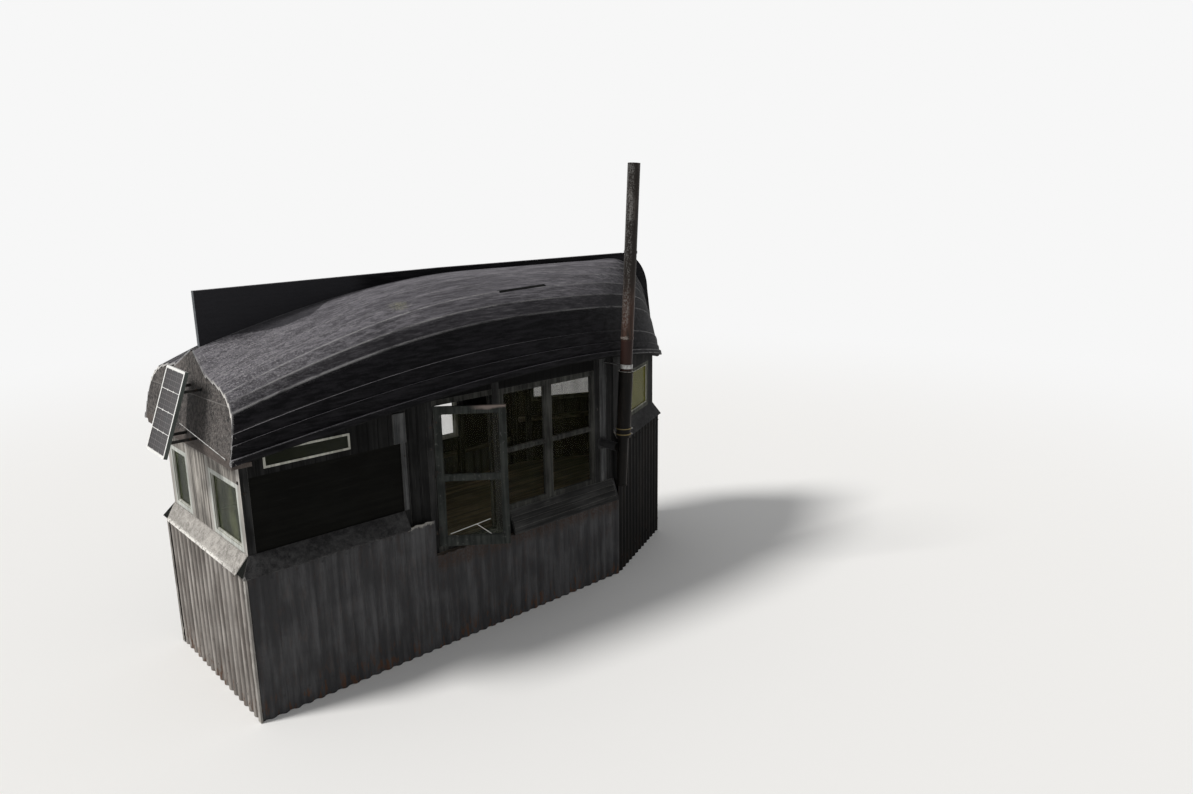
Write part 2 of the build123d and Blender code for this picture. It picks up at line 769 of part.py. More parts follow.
# Sloping boards that cover the tops of the sheets
def skirt_outline(low, high):
    """Section of a sloping board: distances out from the sheets, and heights."""
    top = Vector(SEAT - UPPER_INSET, high)
    foot = Vector(SKIRT_OUT, low)
    down = along(top, foot)
    inner = foot - outward(down) * SKIRT_BOARD
    rise = (inner.X - top.X) * -down.Y / down.X
    return [(top.X, top.Y), (foot.X, foot.Y), (inner.X, inner.Y), (top.X, inner.Y + rise)]


def straight_run(start, end):
    """Add a straight piece between two matching end outlines."""
    faces = [Face(Wire.make_polygon(start)), Face(Wire.make_polygon(end))]
    for i, point in enumerate(start):
        j = (i + 1) % len(start)
        faces.append(Face(Wire.make_polygon([point, start[j], end[j], end[i]])))
    add(Solid(Shell(faces)))


def skirt(turns, outline):
    """Add boards round the turns of a wall, mitred at each."""
    ends = [[Vector(*turn(-out), z) for out, z in outline] for turn in turns]
    for start, end in zip(ends, ends[1:]):
        straight_run(start, end)


def stern_corner(depth):
    return (STERN_X + depth, depth - HALF_WIDTH)


def across(turn):
    """The same turn on the rear side."""
    return lambda depth: (turn(depth)[0], -turn(depth)[1])


def straight_end(x):
    return lambda depth: (x, depth - HALF_WIDTH)


with BuildPart() as skirt_boards:
    skirt(
        (straight_end(PANEL_RIGHT), stern_corner, across(stern_corner), across(corner)),
        skirt_outline(SKIRT_LOW, SKIRT_TOP),
    )
    skirt((corner, nose, across(nose), across(corner)), skirt_outline(BOW_SKIRT_LOW, BOW_SKIRT_TOP))
    skirt(
        (straight_end(LIGHTS_LEFT + POST), straight_end(CORNER_BOARDS_RIGHT)),
        skirt_outline(SILL_BOARD_FOOT + SHEET_DROP, LIGHTS_FOOT - SEAT),
    )
keep(skirt_boards, "skirt_boards")


# Wall boards and panels, set flush between the posts
def cut_under_eaves():
    """Keep what lies under the eaves plates."""
    line = sheer_curve(EAVES_PLATE + 2 * SEAT)
    with BuildSketch(Plane.XZ) as under:
        with BuildLine():
            Bezier(*line)
            Polyline(line[-1], (line[-1][0], 0), (line[0][0], 0), line[0])
        make_face()
    extrude(under.sketch, amount=2 * MID_HALF_BEAM, both=True, mode=Mode.INTERSECT)


def span(low, high):
    """The width between two posts, less the seats."""
    return (low + SEAT, high - SEAT)


def front_board(xs, zs, recess=0):
    block(xs, (recess - FACE, recess - FACE + BOARD), zs)


SLOT_HEAD = eaves_foot(SLOT_LEFT) - SLOT_DROP
SLOT_ZS = (SLOT_HEAD - SLOT_HEIGHT, SLOT_HEAD)
FLUE_SLOPE = tan(radians(FLUE_LEAN))


def flue_x(z):
    """Where the leaning flue is at a height."""
    return FLUE_X + (z - FLUE_FOOT) * FLUE_SLOPE


BOARD_LAP = 20
WALL_FOOT = SHEET_TOP - BOARD_LAP
ROOF_CLEAR = max(SHEER)
DOOR_LINTEL = DOOR_HEAD + LINTEL_HEIGHT
CORNER_STRIP = WAVE_ZONE + 2


def corner_strip(foot):
    """Upright strip that closes the end of the bow sheets above the lower wall sheets."""
    out = corner(CORNER_STRIP)
    back = corner(UPPER_INSET - SEAT)
    with BuildSketch(Plane.XY.offset(foot)) as plan:
        with BuildLine():
            Polyline(out, back, (back[0] - BOARD, back[1]), (out[0] - BOARD, out[1]), close=True)
        make_face()
    extrude(plan.sketch, amount=BOW_SHEET_TOP - foot)


with BuildPart() as front_boards:
    front_board(span(STERN_FACE + POST, PANEL_RIGHT), (PANEL_HEAD + SEAT, ROOF_CLEAR))
    front_board(span(PANEL_RIGHT + POST, DOOR_LEFT - POST), (WALL_FOOT, ROOF_CLEAR))
    front_board(span(DOOR_LEFT, DOOR_RIGHT), (DOOR_LINTEL + SEAT, ROOF_CLEAR))
    front_board(span(LIGHTS_LEFT, LIGHTS_RIGHT), (LIGHTS_HEAD + SEAT, ROOF_CLEAR))
    front_board(span(LIGHTS_LEFT, LIGHTS_RIGHT), (SILL_BOARD_FOOT - BOARD_LAP, LIGHTS_FOOT - SEAT))
    front_board(span(LIGHTS_RIGHT + POST, CORNER_POST), (SILL_BOARD_FOOT - BOARD_LAP, ROOF_CLEAR))
    front_board((CORNER_POST + POST + SEAT, CORNER_BOARDS_RIGHT), (SILL_BOARD_FOOT - BOARD_LAP, ROOF_CLEAR))
    cut_block((SLOT_LEFT, SLOT_RIGHT), (-FACE, BOARD - FACE), SLOT_ZS)
    with Locations(Location((flue_x(TEE_HEIGHT), BOARD / 2 - FACE, TEE_HEIGHT), (90, 0, 0))):
        Cylinder(FLUE_HOLE_RADIUS, BOARD, mode=Mode.SUBTRACT)
    cut_under_eaves()
    corner_strip(LIGHTS_FOOT + SEAT)
keep(front_boards, "front_boards")

with BuildPart() as dark_panel:
    front_board(span(STERN_FACE + POST, PANEL_RIGHT), (WALL_FOOT, PANEL_HEAD), PANEL_RECESS)
keep(dark_panel, "dark_panel")

REAR_WINDOWS = [(left + POST, right) for left, right in zip(REAR_POSTS, REAR_POSTS[1:])]
with BuildPart() as rear_boards:
    front_board(span(STERN_FACE + POST, REAR_POSTS[0]), (WALL_FOOT, ROOF_CLEAR))
    for left, right in REAR_WINDOWS:
        front_board(span(left, right), (WALL_FOOT, WINDOW_FOOT - SEAT))
        front_board(span(left, right), (REAR_HEAD + SEAT, ROOF_CLEAR))
    front_board(span(REAR_POSTS[-1] + POST, CORNER_POST), (WALL_FOOT, ROOF_CLEAR))
    front_board((CORNER_POST + POST + SEAT, CORNER_BOARDS_RIGHT), (WALL_FOOT, ROOF_CLEAR))
    cut_under_eaves()
    corner_strip(SKIRT_TOP + SEAT)
    mirror(about=Plane.XZ, mode=Mode.REPLACE)
keep(rear_boards, "rear_boards")

STERN_BOARD = (STERN_FACE, STERN_FACE + BOARD)
STERN_WINDOWS = ((-POST_BACK, STERN_INNER_POSTS[0]), (STERN_INNER_POSTS[1] + POST, POST_BACK))
with BuildPart() as stern_boards:
    block(STERN_BOARD, span(STERN_INNER_POSTS[0] + POST, STERN_INNER_POSTS[1]), (WALL_FOOT, tie_foot - SEAT))
    for left, right in STERN_WINDOWS:
        block(STERN_BOARD, span(left, right), (WALL_FOOT, WINDOW_FOOT - SEAT))
        block(STERN_BOARD, span(left, right), (STERN_HEAD + SEAT, tie_foot - SEAT))
keep(stern_boards, "stern_boards")

bow_turns = [corner(UPPER_INSET), nose(UPPER_INSET)]
bow_turns_back = [nose(UPPER_INSET + BOARD), corner(UPPER_INSET + BOARD)]
with BuildPart() as bow_boards:
    with BuildSketch(Plane.XY.offset(BOW_SHEET_TOP - BOARD_LAP)):
        with BuildLine():
            Polyline(*bow_turns, *[(x, -y) for x, y in reversed(bow_turns)], close=False)
            Polyline((bow_turns[0][0], -bow_turns[0][1]), (bow_turns_back[1][0], -bow_turns_back[1][1]))
            Polyline(*[(x, -y) for x, y in reversed(bow_turns_back)], *bow_turns_back, close=False)
            Polyline(bow_turns_back[1], bow_turns[0])
        make_face()
    extrude(amount=ROOF_CLEAR - BOW_SHEET_TOP)
    cut_under_eaves()
    facet_block((FACET_LEFT, FACET_RIGHT), (FACET_FOOT, FACET_HEAD), (-BOARD - 1, 1), Mode.SUBTRACT)
    mirror(about=Plane.XZ, mode=Mode.INTERSECT)
keep(bow_boards, "bow_boards")


# Window frames
def inset(pair, by):
    return (pair[0] + by, pair[1] - by)


FRAME_YS = (-FACE, FRAME_DEPTH - FACE)
STERN_FRAME = (STERN_FACE, STERN_FACE + FRAME_DEPTH)
WINDOW_HEIGHT = (WINDOW_FOOT, STERN_HEAD)
REAR_HEIGHT = (WINDOW_FOOT, REAR_HEAD)
LIGHTS_HEIGHT = (LIGHTS_FOOT, LIGHTS_HEAD)
LIGHTS = ((LIGHTS_LEFT, MULLION_X), (MULLION_X, LIGHTS_RIGHT))
FACET_RUN = (FACET_LEFT, FACET_RIGHT)
FACET_HEIGHT = (FACET_FOOT, FACET_HEAD)

with BuildPart() as stern_windows:
    for left, right in STERN_WINDOWS:
        block(STERN_FRAME, span(left, right), WINDOW_HEIGHT)
        cut_block(STERN_FRAME, inset((left, right), WINDOW_FRAME), inset(WINDOW_HEIGHT, WINDOW_FRAME))
keep(stern_windows, "stern_windows")

with BuildPart() as rear_windows:
    for left, right in REAR_WINDOWS:
        block(span(left, right), FRAME_YS, REAR_HEIGHT)
        cut_block(inset((left, right), WINDOW_FRAME), FRAME_YS, inset(REAR_HEIGHT, WINDOW_FRAME))
    mirror(about=Plane.XZ, mode=Mode.REPLACE)
keep(rear_windows, "rear_windows")

with BuildPart() as bow_windows:
    facet_block(span(*FACET_RUN), span(*FACET_HEIGHT), (-FRAME_DEPTH, 0))
    facet_block(
        inset(FACET_RUN, WINDOW_FRAME), inset(FACET_HEIGHT, WINDOW_FRAME), (-FRAME_DEPTH - 1, 1), Mode.SUBTRACT
    )
    mirror(about=Plane.XZ)
keep(bow_windows, "bow_windows")

with BuildPart() as slot_window:
    SLOT_YS = (-FACE - SLOT_PROUD, BOARD - FACE)
    block(span(SLOT_LEFT, SLOT_RIGHT), SLOT_YS, span(*SLOT_ZS))
    cut_block(inset((SLOT_LEFT, SLOT_RIGHT), SLOT_FRAME), SLOT_YS, inset(SLOT_ZS, SLOT_FRAME))
keep(slot_window, "slot_window")

with BuildPart() as front_lights:
    block(span(LIGHTS_LEFT, LIGHTS_RIGHT), FRAME_YS, LIGHTS_HEIGHT)
    for pair in LIGHTS:
        cut_block(inset(pair, LIGHT_STILE), FRAME_YS, (LIGHTS_FOOT + LIGHT_STILE, LIGHT_BAR_FOOT))
        cut_block(inset(pair, LIGHT_STILE), FRAME_YS, (LIGHT_BAR_FOOT + LIGHT_BAR, LIGHTS_HEAD - LIGHT_STILE))
keep(front_lights, "front_lights")

PANE_IN = WINDOW_FRAME + GLASS_SEAT
PANE_DEPTH = FRAME_DEPTH / 2
PANE_YS = (PANE_DEPTH - FACE, PANE_DEPTH + GLASS - FACE)
STERN_PANE = (STERN_FACE + PANE_DEPTH, STERN_FACE + PANE_DEPTH + GLASS)
LIGHT_ROWS = ((LIGHTS_FOOT + LIGHT_STILE, LIGHT_BAR_FOOT), (LIGHT_BAR_FOOT + LIGHT_BAR, LIGHTS_HEAD - LIGHT_STILE))
with BuildPart() as window_glass:
    facet_block(
        inset(FACET_RUN, PANE_IN), inset(FACET_HEIGHT, PANE_IN), (-PANE_DEPTH - GLASS, -PANE_DEPTH)
    )
    mirror(about=Plane.XZ)
    for pair in REAR_WINDOWS:
        block(inset(pair, PANE_IN), (-PANE_YS[1], -PANE_YS[0]), inset(REAR_HEIGHT, PANE_IN))
    for pair in STERN_WINDOWS:
        block(STERN_PANE, inset(pair, PANE_IN), inset(WINDOW_HEIGHT, PANE_IN))
    for pair in LIGHTS:
        for row in LIGHT_ROWS:
            block(inset(pair, LIGHT_STILE + GLASS_SEAT), PANE_YS, inset(row, GLASS_SEAT))
    block(
        inset((SLOT_LEFT, SLOT_RIGHT), SLOT_FRAME + GLASS_SEAT),
        (-FACE, GLASS - FACE),
        inset(SLOT_ZS, SLOT_FRAME + GLASS_SEAT),
    )
keep(window_glass, "window_glass")

# Door frame: lintel, threshold and the stops behind the leaf
STOP_YS = (LEAF_THICKNESS + LEAF_GAP - FACE, -POST_BACK)
with BuildPart() as door_frame:
    block(span(DOOR_LEFT, DOOR_RIGHT), (-FACE, -POST_BACK), (DOOR_HEAD, DOOR_LINTEL))
    block(span(DOOR_LEFT, DOOR_RIGHT), (-FACE, -POST_BACK), (DOOR_SHEET_TOP + SEAT, DOOR_FOOT))
    for left in (DOOR_LEFT + SEAT, DOOR_RIGHT - SEAT - DOOR_STOP):
        block((left, left + DOOR_STOP), STOP_YS, (DOOR_FOOT, DOOR_HEAD))
keep(door_frame, "door_frame")

# Door leaf, built in its own closed frame with the hinge axis at the origin, then set open
HINGE_X = DOOR_LEFT + LEAF_GAP / 2
HINGE_Y = -FACE - HINGE_OUT
OPEN_LEAF = Location((HINGE_X, HINGE_Y, 0), (0, 0, -LEAF_OPEN))
CLOSED_LEAF = Location((HINGE_X, HINGE_Y, 0))
LEAF_XS = (LEAF_GAP / 2, DOOR_RIGHT - LEAF_GAP - HINGE_X)
LEAF_YS = (HINGE_OUT, HINGE_OUT + LEAF_THICKNESS)
LEAF_ZS = (DOOR_FOOT + LEAF_GAP, DOOR_HEAD - LEAF_GAP)
LEAF_PANES = (
    (LEAF_ZS[0] + LEAF_FOOT_RAIL, LEAF_BAR_FOOT),
    (LEAF_BAR_FOOT + LEAF_MID_RAIL, LEAF_ZS[1] - LEAF_STILE),
)
HINGE_FEET = (LEAF_ZS[0] + HINGE_INSET, (DOOR_FOOT + DOOR_HEAD) / 2, LEAF_ZS[1] - HINGE_INSET - HINGE_HEIGHT)


def place(piece, location):
    """Move a finished piece to its place."""
    piece.part = piece.part.moved(location)


with BuildPart() as door_leaf:
    block(LEAF_XS, LEAF_YS, LEAF_ZS)
    for pane in LEAF_PANES:
        cut_block(inset(LEAF_XS, LEAF_STILE), LEAF_YS, pane)
place(door_leaf, OPEN_LEAF)
keep(door_leaf, "door_leaf")

pane_y = HINGE_OUT + LEAF_THICKNESS / 2
with BuildPart() as door_glass:
    for pane in LEAF_PANES:
        pane_ys = (pane_y - GLASS / 2, pane_y + GLASS / 2)
        block(inset(LEAF_XS, LEAF_STILE + GLASS_SEAT), pane_ys, inset(pane, GLASS_SEAT))
place(door_glass, OPEN_LEAF)
keep(door_glass, "door_glass")

# Butt hinges: the lower half of each belongs to the post, the upper half to the leaf
FLAP_YS = (HINGE_OUT - SEAT - HINGE_PLATE, HINGE_OUT - SEAT)


def knuckle(foot, radius, height):
    with Locations((0, 0, foot + height / 2)):
        Cylinder(radius, height)


with BuildPart() as hinge_knuckles:
    for foot in HINGE_FEET:
        middle = foot + HINGE_HEIGHT / 2
        knuckle(middle + SEAT, KNUCKLE_RADIUS, HINGE_HEIGHT / 2 - SEAT)
        block((0, HINGE_FLAP), FLAP_YS, (middle + SEAT, foot + HINGE_HEIGHT))
        with Locations((0, 0, middle + HINGE_HEIGHT / 4)):
            Cylinder(PIN_RADIUS + PIN_CLEARANCE, HINGE_HEIGHT, mode=Mode.SUBTRACT)
place(hinge_knuckles, OPEN_LEAF)
keep(hinge_knuckles, "hinge_knuckles")

with BuildPart() as hinge_pins:
    for foot in HINGE_FEET:
        knuckle(foot, KNUCKLE_RADIUS, HINGE_HEIGHT / 2)
        knuckle(foot, PIN_RADIUS, HINGE_HEIGHT + PIN_HEAD)
        knuckle(foot + HINGE_HEIGHT + SEAT, KNUCKLE_RADIUS - 1, PIN_HEAD)
        block((-HINGE_FLAP, 0), FLAP_YS, (foot, foot + HINGE_HEIGHT / 2))
place(hinge_pins, CLOSED_LEAF)
keep(hinge_pins, "hinge_pins")

# Block under the gunwale beside the panel
with BuildPart() as eaves_block:
    block(EAVES_BLOCK_XS, (-FACE - BLOCK_DEPTH, -FACE - SEAT), EAVES_BLOCK_ZS)
keep(eaves_block, "eaves_block")

# Leaning flue: lengths of pipe, wide sleeve with the tee under it, and the strap to the wall
FLUE_AXIS = Plane(origin=(FLUE_X, FLUE_Y, FLUE_FOOT), x_dir=(1, 0, -FLUE_SLOPE), z_dir=(FLUE_SLOPE, 0, 1))


def up_flue(z):
    """Distance along the flue to a height."""
    return (z - FLUE_FOOT) / cos(radians(FLUE_LEAN))


def tube(low, high, radius, mode=Mode.ADD):
    """Round length of the flue between two heights."""
    run = up_flue(high) - up_flue(low)
    with Locations(FLUE_AXIS.offset(up_flue(low) + run / 2).location):
        Cylinder(radius, run, mode=mode)


with BuildPart() as flue_pipe:
    pipe_foot = FLUE_FOOT
    for length in FLUE_LENGTHS:
        tube(pipe_foot, pipe_foot + length - SEAT, FLUE_RADIUS)
        pipe_foot += length
    tube(FLUE_FOOT, pipe_foot, FLUE_RADIUS - FLUE_WALL, Mode.SUBTRACT)
keep(flue_pipe, "flue_pipe")

with BuildPart() as flue_sleeve:
    tube(SLEEVE_FOOT, FLUE_COLLAR, FLUE_WIDE_RADIUS)
    tube(FLUE_COLLAR - COLLAR_HEIGHT, FLUE_COLLAR, FLUE_WIDE_RADIUS + COLLAR_OUT)
    for band in BANDS:
        tube(band, band + BAND_HEIGHT, FLUE_WIDE_RADIUS + COLLAR_OUT)
    tube(CAP_HEIGHT, SLEEVE_FOOT - SEAT, TEE_RADIUS)
    tube(CAP_HEIGHT, CAP_HEIGHT + COLLAR_HEIGHT, TEE_RADIUS + COLLAR_OUT)
    branch = -FACE - SEAT - FLUE_Y
    with Locations(Location((flue_x(TEE_HEIGHT), FLUE_Y + branch / 2, TEE_HEIGHT), (90, 0, 0))):
        Cylinder(BRANCH_RADIUS, branch)
    with Locations(Location((flue_x(TEE_HEIGHT), -FACE - SEAT - FLANGE / 2, TEE_HEIGHT), (90, 0, 0))):
        Cylinder(FLANGE_RADIUS, FLANGE)
    tube(SLEEVE_FOOT + FLUE_WALL, FLUE_COLLAR - FLUE_WALL, FLUE_WIDE_RADIUS - FLUE_WALL, Mode.SUBTRACT)
    tube(SLEEVE_FOOT + FLUE_WALL, FLUE_COLLAR, FLUE_RADIUS + GLASS_SEAT, Mode.SUBTRACT)
    tube(CAP_HEIGHT + COLLAR_HEIGHT, SLEEVE_FOOT + FLUE_WALL, TEE_RADIUS - FLUE_WALL, Mode.SUBTRACT)
    with Locations(Location((flue_x(TEE_HEIGHT), FLUE_Y + branch / 2, TEE_HEIGHT), (90, 0, 0))):
        Cylinder(BRANCH_RADIUS - FLUE_WALL, branch, mode=Mode.SUBTRACT)
keep(flue_sleeve, "flue_sleeve")

strap_foot = FLUE_COLLAR + STRAP_RISE
strap_x = flue_x(strap_foot)
with BuildPart() as flue_strap:
    block(
        (strap_x - STRAP_WIDTH / 2, strap_x + STRAP_WIDTH / 2),
        (FLUE_Y, -FACE - SEAT),
        (strap_foot, strap_foot + STRAP_THICKNESS),
    )
    tube(strap_foot - STRAP_WIDTH / 2, strap_foot + STRAP_WIDTH / 2, FLUE_RADIUS + COLLAR_OUT)
    tube(strap_foot - STRAP_WIDTH, strap_foot + STRAP_WIDTH, FLUE_RADIUS + GLASS_SEAT, Mode.SUBTRACT)
keep(flue_strap, "flue_strap")

# Solar panel on the transom, its two brackets, junction box and stay
SOLAR_SIN = sin(radians(SOLAR_TILT))
SOLAR_COS = cos(radians(SOLAR_TILT))
SOLAR_MIDDLE = (
    SOLAR_TOP_X - SOLAR_LENGTH / 2 * SOLAR_SIN,
    SOLAR_Y,
    SOLAR_TOP - SOLAR_LENGTH / 2 * SOLAR_COS,
)
solar_face = Plane(origin=SOLAR_MIDDLE, x_dir=(0, -1, 0), z_dir=(-SOLAR_COS, 0, SOLAR_SIN))
with BuildPart() as solar_panel:
    with Locations(solar_face.offset(-SOLAR_THICKNESS / 2).location):
        Box(SOLAR_WIDTH, SOLAR_LENGTH, SOLAR_THICKNESS)
    with Locations(solar_face.location):
        Box(SOLAR_WIDTH - 2 * SOLAR_RIM, SOLAR_LENGTH - 2 * SOLAR_RIM, 2 * SOLAR_RECESS, mode=Mode.SUBTRACT)
keep(solar_panel, "solar_panel")


def solar_back(z):
    """Where the back of the panel is at a height."""
    return SOLAR_TOP_X - (SOLAR_TOP - z) * SOLAR_SIN / SOLAR_COS + SOLAR_THICKNESS / SOLAR_COS + SEAT


def transom_face(z):
    return HULL_AFT + STERN_RAKE * (z - bezier(SHEER, 0)) - SEAT


def stand_off(y, z):
    """Bar from the back of the panel to the transom."""
    high = z + SOLAR_BAR
    with BuildSketch(Plane.XZ.offset(-y)) as side:
        with BuildLine():
            Polyline(
                (solar_back(z), z),
                (transom_face(z), z),
                (transom_face(high), high),
                (solar_back(high), high),
                close=True,
            )
        make_face()
    extrude(side.sketch, amount=SOLAR_BAR / 2, both=True)


with BuildPart() as solar_brackets:
    for y in (SOLAR_Y - SOLAR_BAR_OUT, SOLAR_Y + SOLAR_BAR_OUT):
        for z in SOLAR_BAR_ZS:
            stand_off(y, z)
    with Locations(solar_face.offset(-SOLAR_THICKNESS - SEAT - JUNCTION[2] / 2).location):
        with Locations((0, JUNCTION_DROP)):
            Box(*JUNCTION)
keep(solar_brackets, "solar_brackets")

stay_start = Vector(solar_back(STAY_TOP) + STAY_KNOB / SOLAR_COS, STAY_NEAR_Y, STAY_TOP)
stay_end = Vector(transom_face(STAY_FOOT) - STAY_KNOB * sqrt(1 + STERN_RAKE**2), STAY_FAR_Y, STAY_FOOT)
stay = stay_end - stay_start
with BuildPart() as solar_stay:
    with Locations(Plane(origin=(stay_start + stay_end) * 0.5, z_dir=stay.normalized()).location):
        Cylinder(STAY_RADIUS, stay.length)
    with Locations(stay_start, stay_end):
        Sphere(STAY_KNOB)
keep(solar_stay, "solar_stay")
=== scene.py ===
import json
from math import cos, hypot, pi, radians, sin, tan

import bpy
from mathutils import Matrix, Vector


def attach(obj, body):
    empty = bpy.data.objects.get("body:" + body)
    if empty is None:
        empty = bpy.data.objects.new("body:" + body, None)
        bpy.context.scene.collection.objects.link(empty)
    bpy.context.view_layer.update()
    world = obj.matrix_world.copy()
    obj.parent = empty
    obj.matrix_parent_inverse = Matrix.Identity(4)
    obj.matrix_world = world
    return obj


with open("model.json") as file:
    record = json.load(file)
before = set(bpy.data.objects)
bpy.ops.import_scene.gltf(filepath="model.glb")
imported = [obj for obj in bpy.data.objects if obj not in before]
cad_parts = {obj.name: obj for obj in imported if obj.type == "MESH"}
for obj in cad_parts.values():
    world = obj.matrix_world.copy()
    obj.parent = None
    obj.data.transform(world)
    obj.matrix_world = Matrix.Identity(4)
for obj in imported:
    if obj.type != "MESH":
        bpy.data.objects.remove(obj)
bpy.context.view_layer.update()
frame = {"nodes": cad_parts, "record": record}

# %% [markdown]
# # A shed roofed by an upturned boat
# The solids of the shed come in above as a fixed frame, in metres.
# X runs from the stern wall to the bow, minus Y is the front wall with the door, and Z is up.
# This lesson dresses that frame: camera, shader tools, light, finishes, and then the small pieces.

nodes = frame["nodes"]
print(len(nodes), "solids in the frame")

# %% [markdown]
# ## Camera
# The camera stands left of the front wall and well above the eaves, looking down at the shed.
# Heading, tilt and roll could be set by eye, but here they come from the straight lines of the
# walls. That way every edge of the solids falls where it should in the picture.

# %% Camera
HEADING, TILT, ROLL = radians(47.28), radians(13.36), radians(-0.73)
EYE = Vector((-5.605, -8.778, 4.968))
FOCAL_LENGTH, SENSOR_WIDTH = 25.99, 36

forward = Vector((cos(HEADING) * cos(TILT), sin(HEADING) * cos(TILT), -sin(TILT)))
level = Vector((sin(HEADING), -cos(HEADING), 0))
upward = level.cross(forward)
right = level * cos(ROLL) + upward * sin(ROLL)
top = upward * cos(ROLL) - level * sin(ROLL)
lens = bpy.data.cameras.new("camera")
lens.lens = FOCAL_LENGTH
lens.sensor_width = SENSOR_WIDTH
camera = bpy.data.objects.new("camera", lens)
bpy.context.scene.collection.objects.link(camera)
turn = Matrix((right, top, -forward)).transposed().to_4x4()
camera.matrix_world = Matrix.Translation(EYE) @ turn
bpy.context.scene.camera = camera
print("camera lens", lens.lens, "mm")

# %% [markdown]
# ## Wall measures
# The faces of the walls are needed again and again, so they get names here, in metres. The bow
# facets turn in by 25 degrees from the long walls, and the eaves follow one curve of four heights.

# %% Wall measures
FACE, HALF_WIDTH = 1.031, 1.111
STERN_X, STERN_FACE, CORNER_X, BOW_X = -3.0, -2.92, 1.86, 3.35
BOW_ANGLE = radians(25)
NOSE_Y = HALF_WIDTH - (BOW_X - CORNER_X) * tan(BOW_ANGLE)
SKIRT_FOOT, SKIRT_OUT = 1.535, 0.03
HULL_STERN, HULL_LENGTH = -3.05, 6.65
SHEER = (2.652, 3.040, 3.352, 2.612)
EAVES_PLATE = 0.031


def facet(side):
    """Outward and along directions of a bow facet: side -1 is the front one."""
    outward = Vector((sin(BOW_ANGLE), side * cos(BOW_ANGLE), 0))
    return outward, Vector((cos(BOW_ANGLE), -side * sin(BOW_ANGLE), 0))


def eaves_foot(x):
    """Height of the underside of the eaves plates along the shed."""
    u = (x - HULL_STERN) / HULL_LENGTH
    weights = ((1 - u) ** 3, 3 * u * (1 - u) ** 2, 3 * u * u * (1 - u), u**3)
    return sum(weight * height for weight, height in zip(weights, SHEER)) - EAVES_PLATE


print("eaves at the door:", round(eaves_foot(-0.45), 3))

# %% [markdown]
# ## Shader arithmetic
# A finish is a tree of nodes, and wiring each by hand makes long lists.
# Here a small class wraps a socket, so that sums and products of masks read like plain arithmetic.

# %% Shader arithmetic


class Value:
    """A socket that can be used in arithmetic."""

    def __init__(self, paint, socket):
        self.paint = paint
        self.socket = socket

    def __add__(self, other):
        return self.paint.maths("ADD", self, other)

    def __sub__(self, other):
        return self.paint.maths("SUBTRACT", self, other)

    def __mul__(self, other):
        return self.paint.maths("MULTIPLY", self, other)

    def __truediv__(self, other):
        return self.paint.maths("DIVIDE", self, other)

    def __rsub__(self, other):
        return self.paint.maths("SUBTRACT", other, self)

    def __neg__(self):
        return 0 - self

    def __abs__(self):
        return self.paint.maths("ABSOLUTE", self)

    __radd__ = __add__
    __rmul__ = __mul__


def sway(noise, reach):
    """A shift to both sides from a noise, so that a border wanders."""
    return (noise - 0.5) * reach


print("shader arithmetic ready")

# %% [markdown]
# ## Making nodes
# Every node, of whatever kind, is made by one method, and the few that come back in every finish
# have a short name: a blend, a smooth step up, and a smooth step down.

# %% Making nodes


class NodeTools:
    """The nodes of one material or world."""

    def __init__(self, owner):
        owner.use_nodes = True
        self.tree = owner.node_tree

    def feed(self, socket, value):
        if isinstance(value, Value):
            self.tree.links.new(value.socket, socket)
        else:
            socket.default_value = value

    def make(self, kind, inputs, outputs=(0,), **settings):
        """Add a node: its settings first, then its sockets by name or number."""
        node = self.tree.nodes.new("ShaderNode" + kind)
        for name, value in settings.items():
            setattr(node, name, value)
        for name, value in inputs.items():
            self.feed(node.inputs[name], value)
        made = [Value(self, node.outputs[name]) for name in outputs]
        return made if len(made) > 1 else made[0]

    def maths(self, operation, *values):
        return self.make("Math", dict(enumerate(values)), operation=operation)

    def measure(self, operation, *vectors):
        """A number that comes from vectors, such as a distance."""
        return self.make("VectorMath", dict(enumerate(vectors)), ("Value",), operation=operation)

    def mix(self, amount, first, second):
        """Blend two colours."""
        return self.make("Mix", {0: amount, 6: first, 7: second}, (2,), data_type="RGBA")

    def band(self, value, low, high):
        """0 below low, 1 above high, smooth between."""
        inputs = {"Value": value, "From Min": low, "From Max": high}
        return self.make("MapRange", inputs, interpolation_type="SMOOTHSTEP")

    def below(self, value, low, high):
        """1 below low, 0 above high, smooth between."""
        return 1 - self.band(value, low, high)

    def seen_rays(self):
        """1 for what the camera sees straight, in a mirror or through glass."""
        rays = ("Is Camera Ray", "Is Glossy Ray", "Is Transmission Ray")
        straight, glossy, through = self.make("LightPath", {}, rays)
        return self.maths("MAXIMUM", self.maths("MAXIMUM", straight, glossy), through)


def rgb(red, green, blue):
    return (red, green, blue, 1)


def grey(level):
    return rgb(level, level, level)


print("node tools ready")

# %% [markdown]
# ## A paint in coats
# Real paint is laid in coats, so a material here starts with one colour, and each coat is another
# colour laid over it by a mask. The masks come from the place, the direction of the surface and
# noise. A finished paint is kept under its name, so that solids and new pieces share it.

# %% A paint in coats
finishes = {}


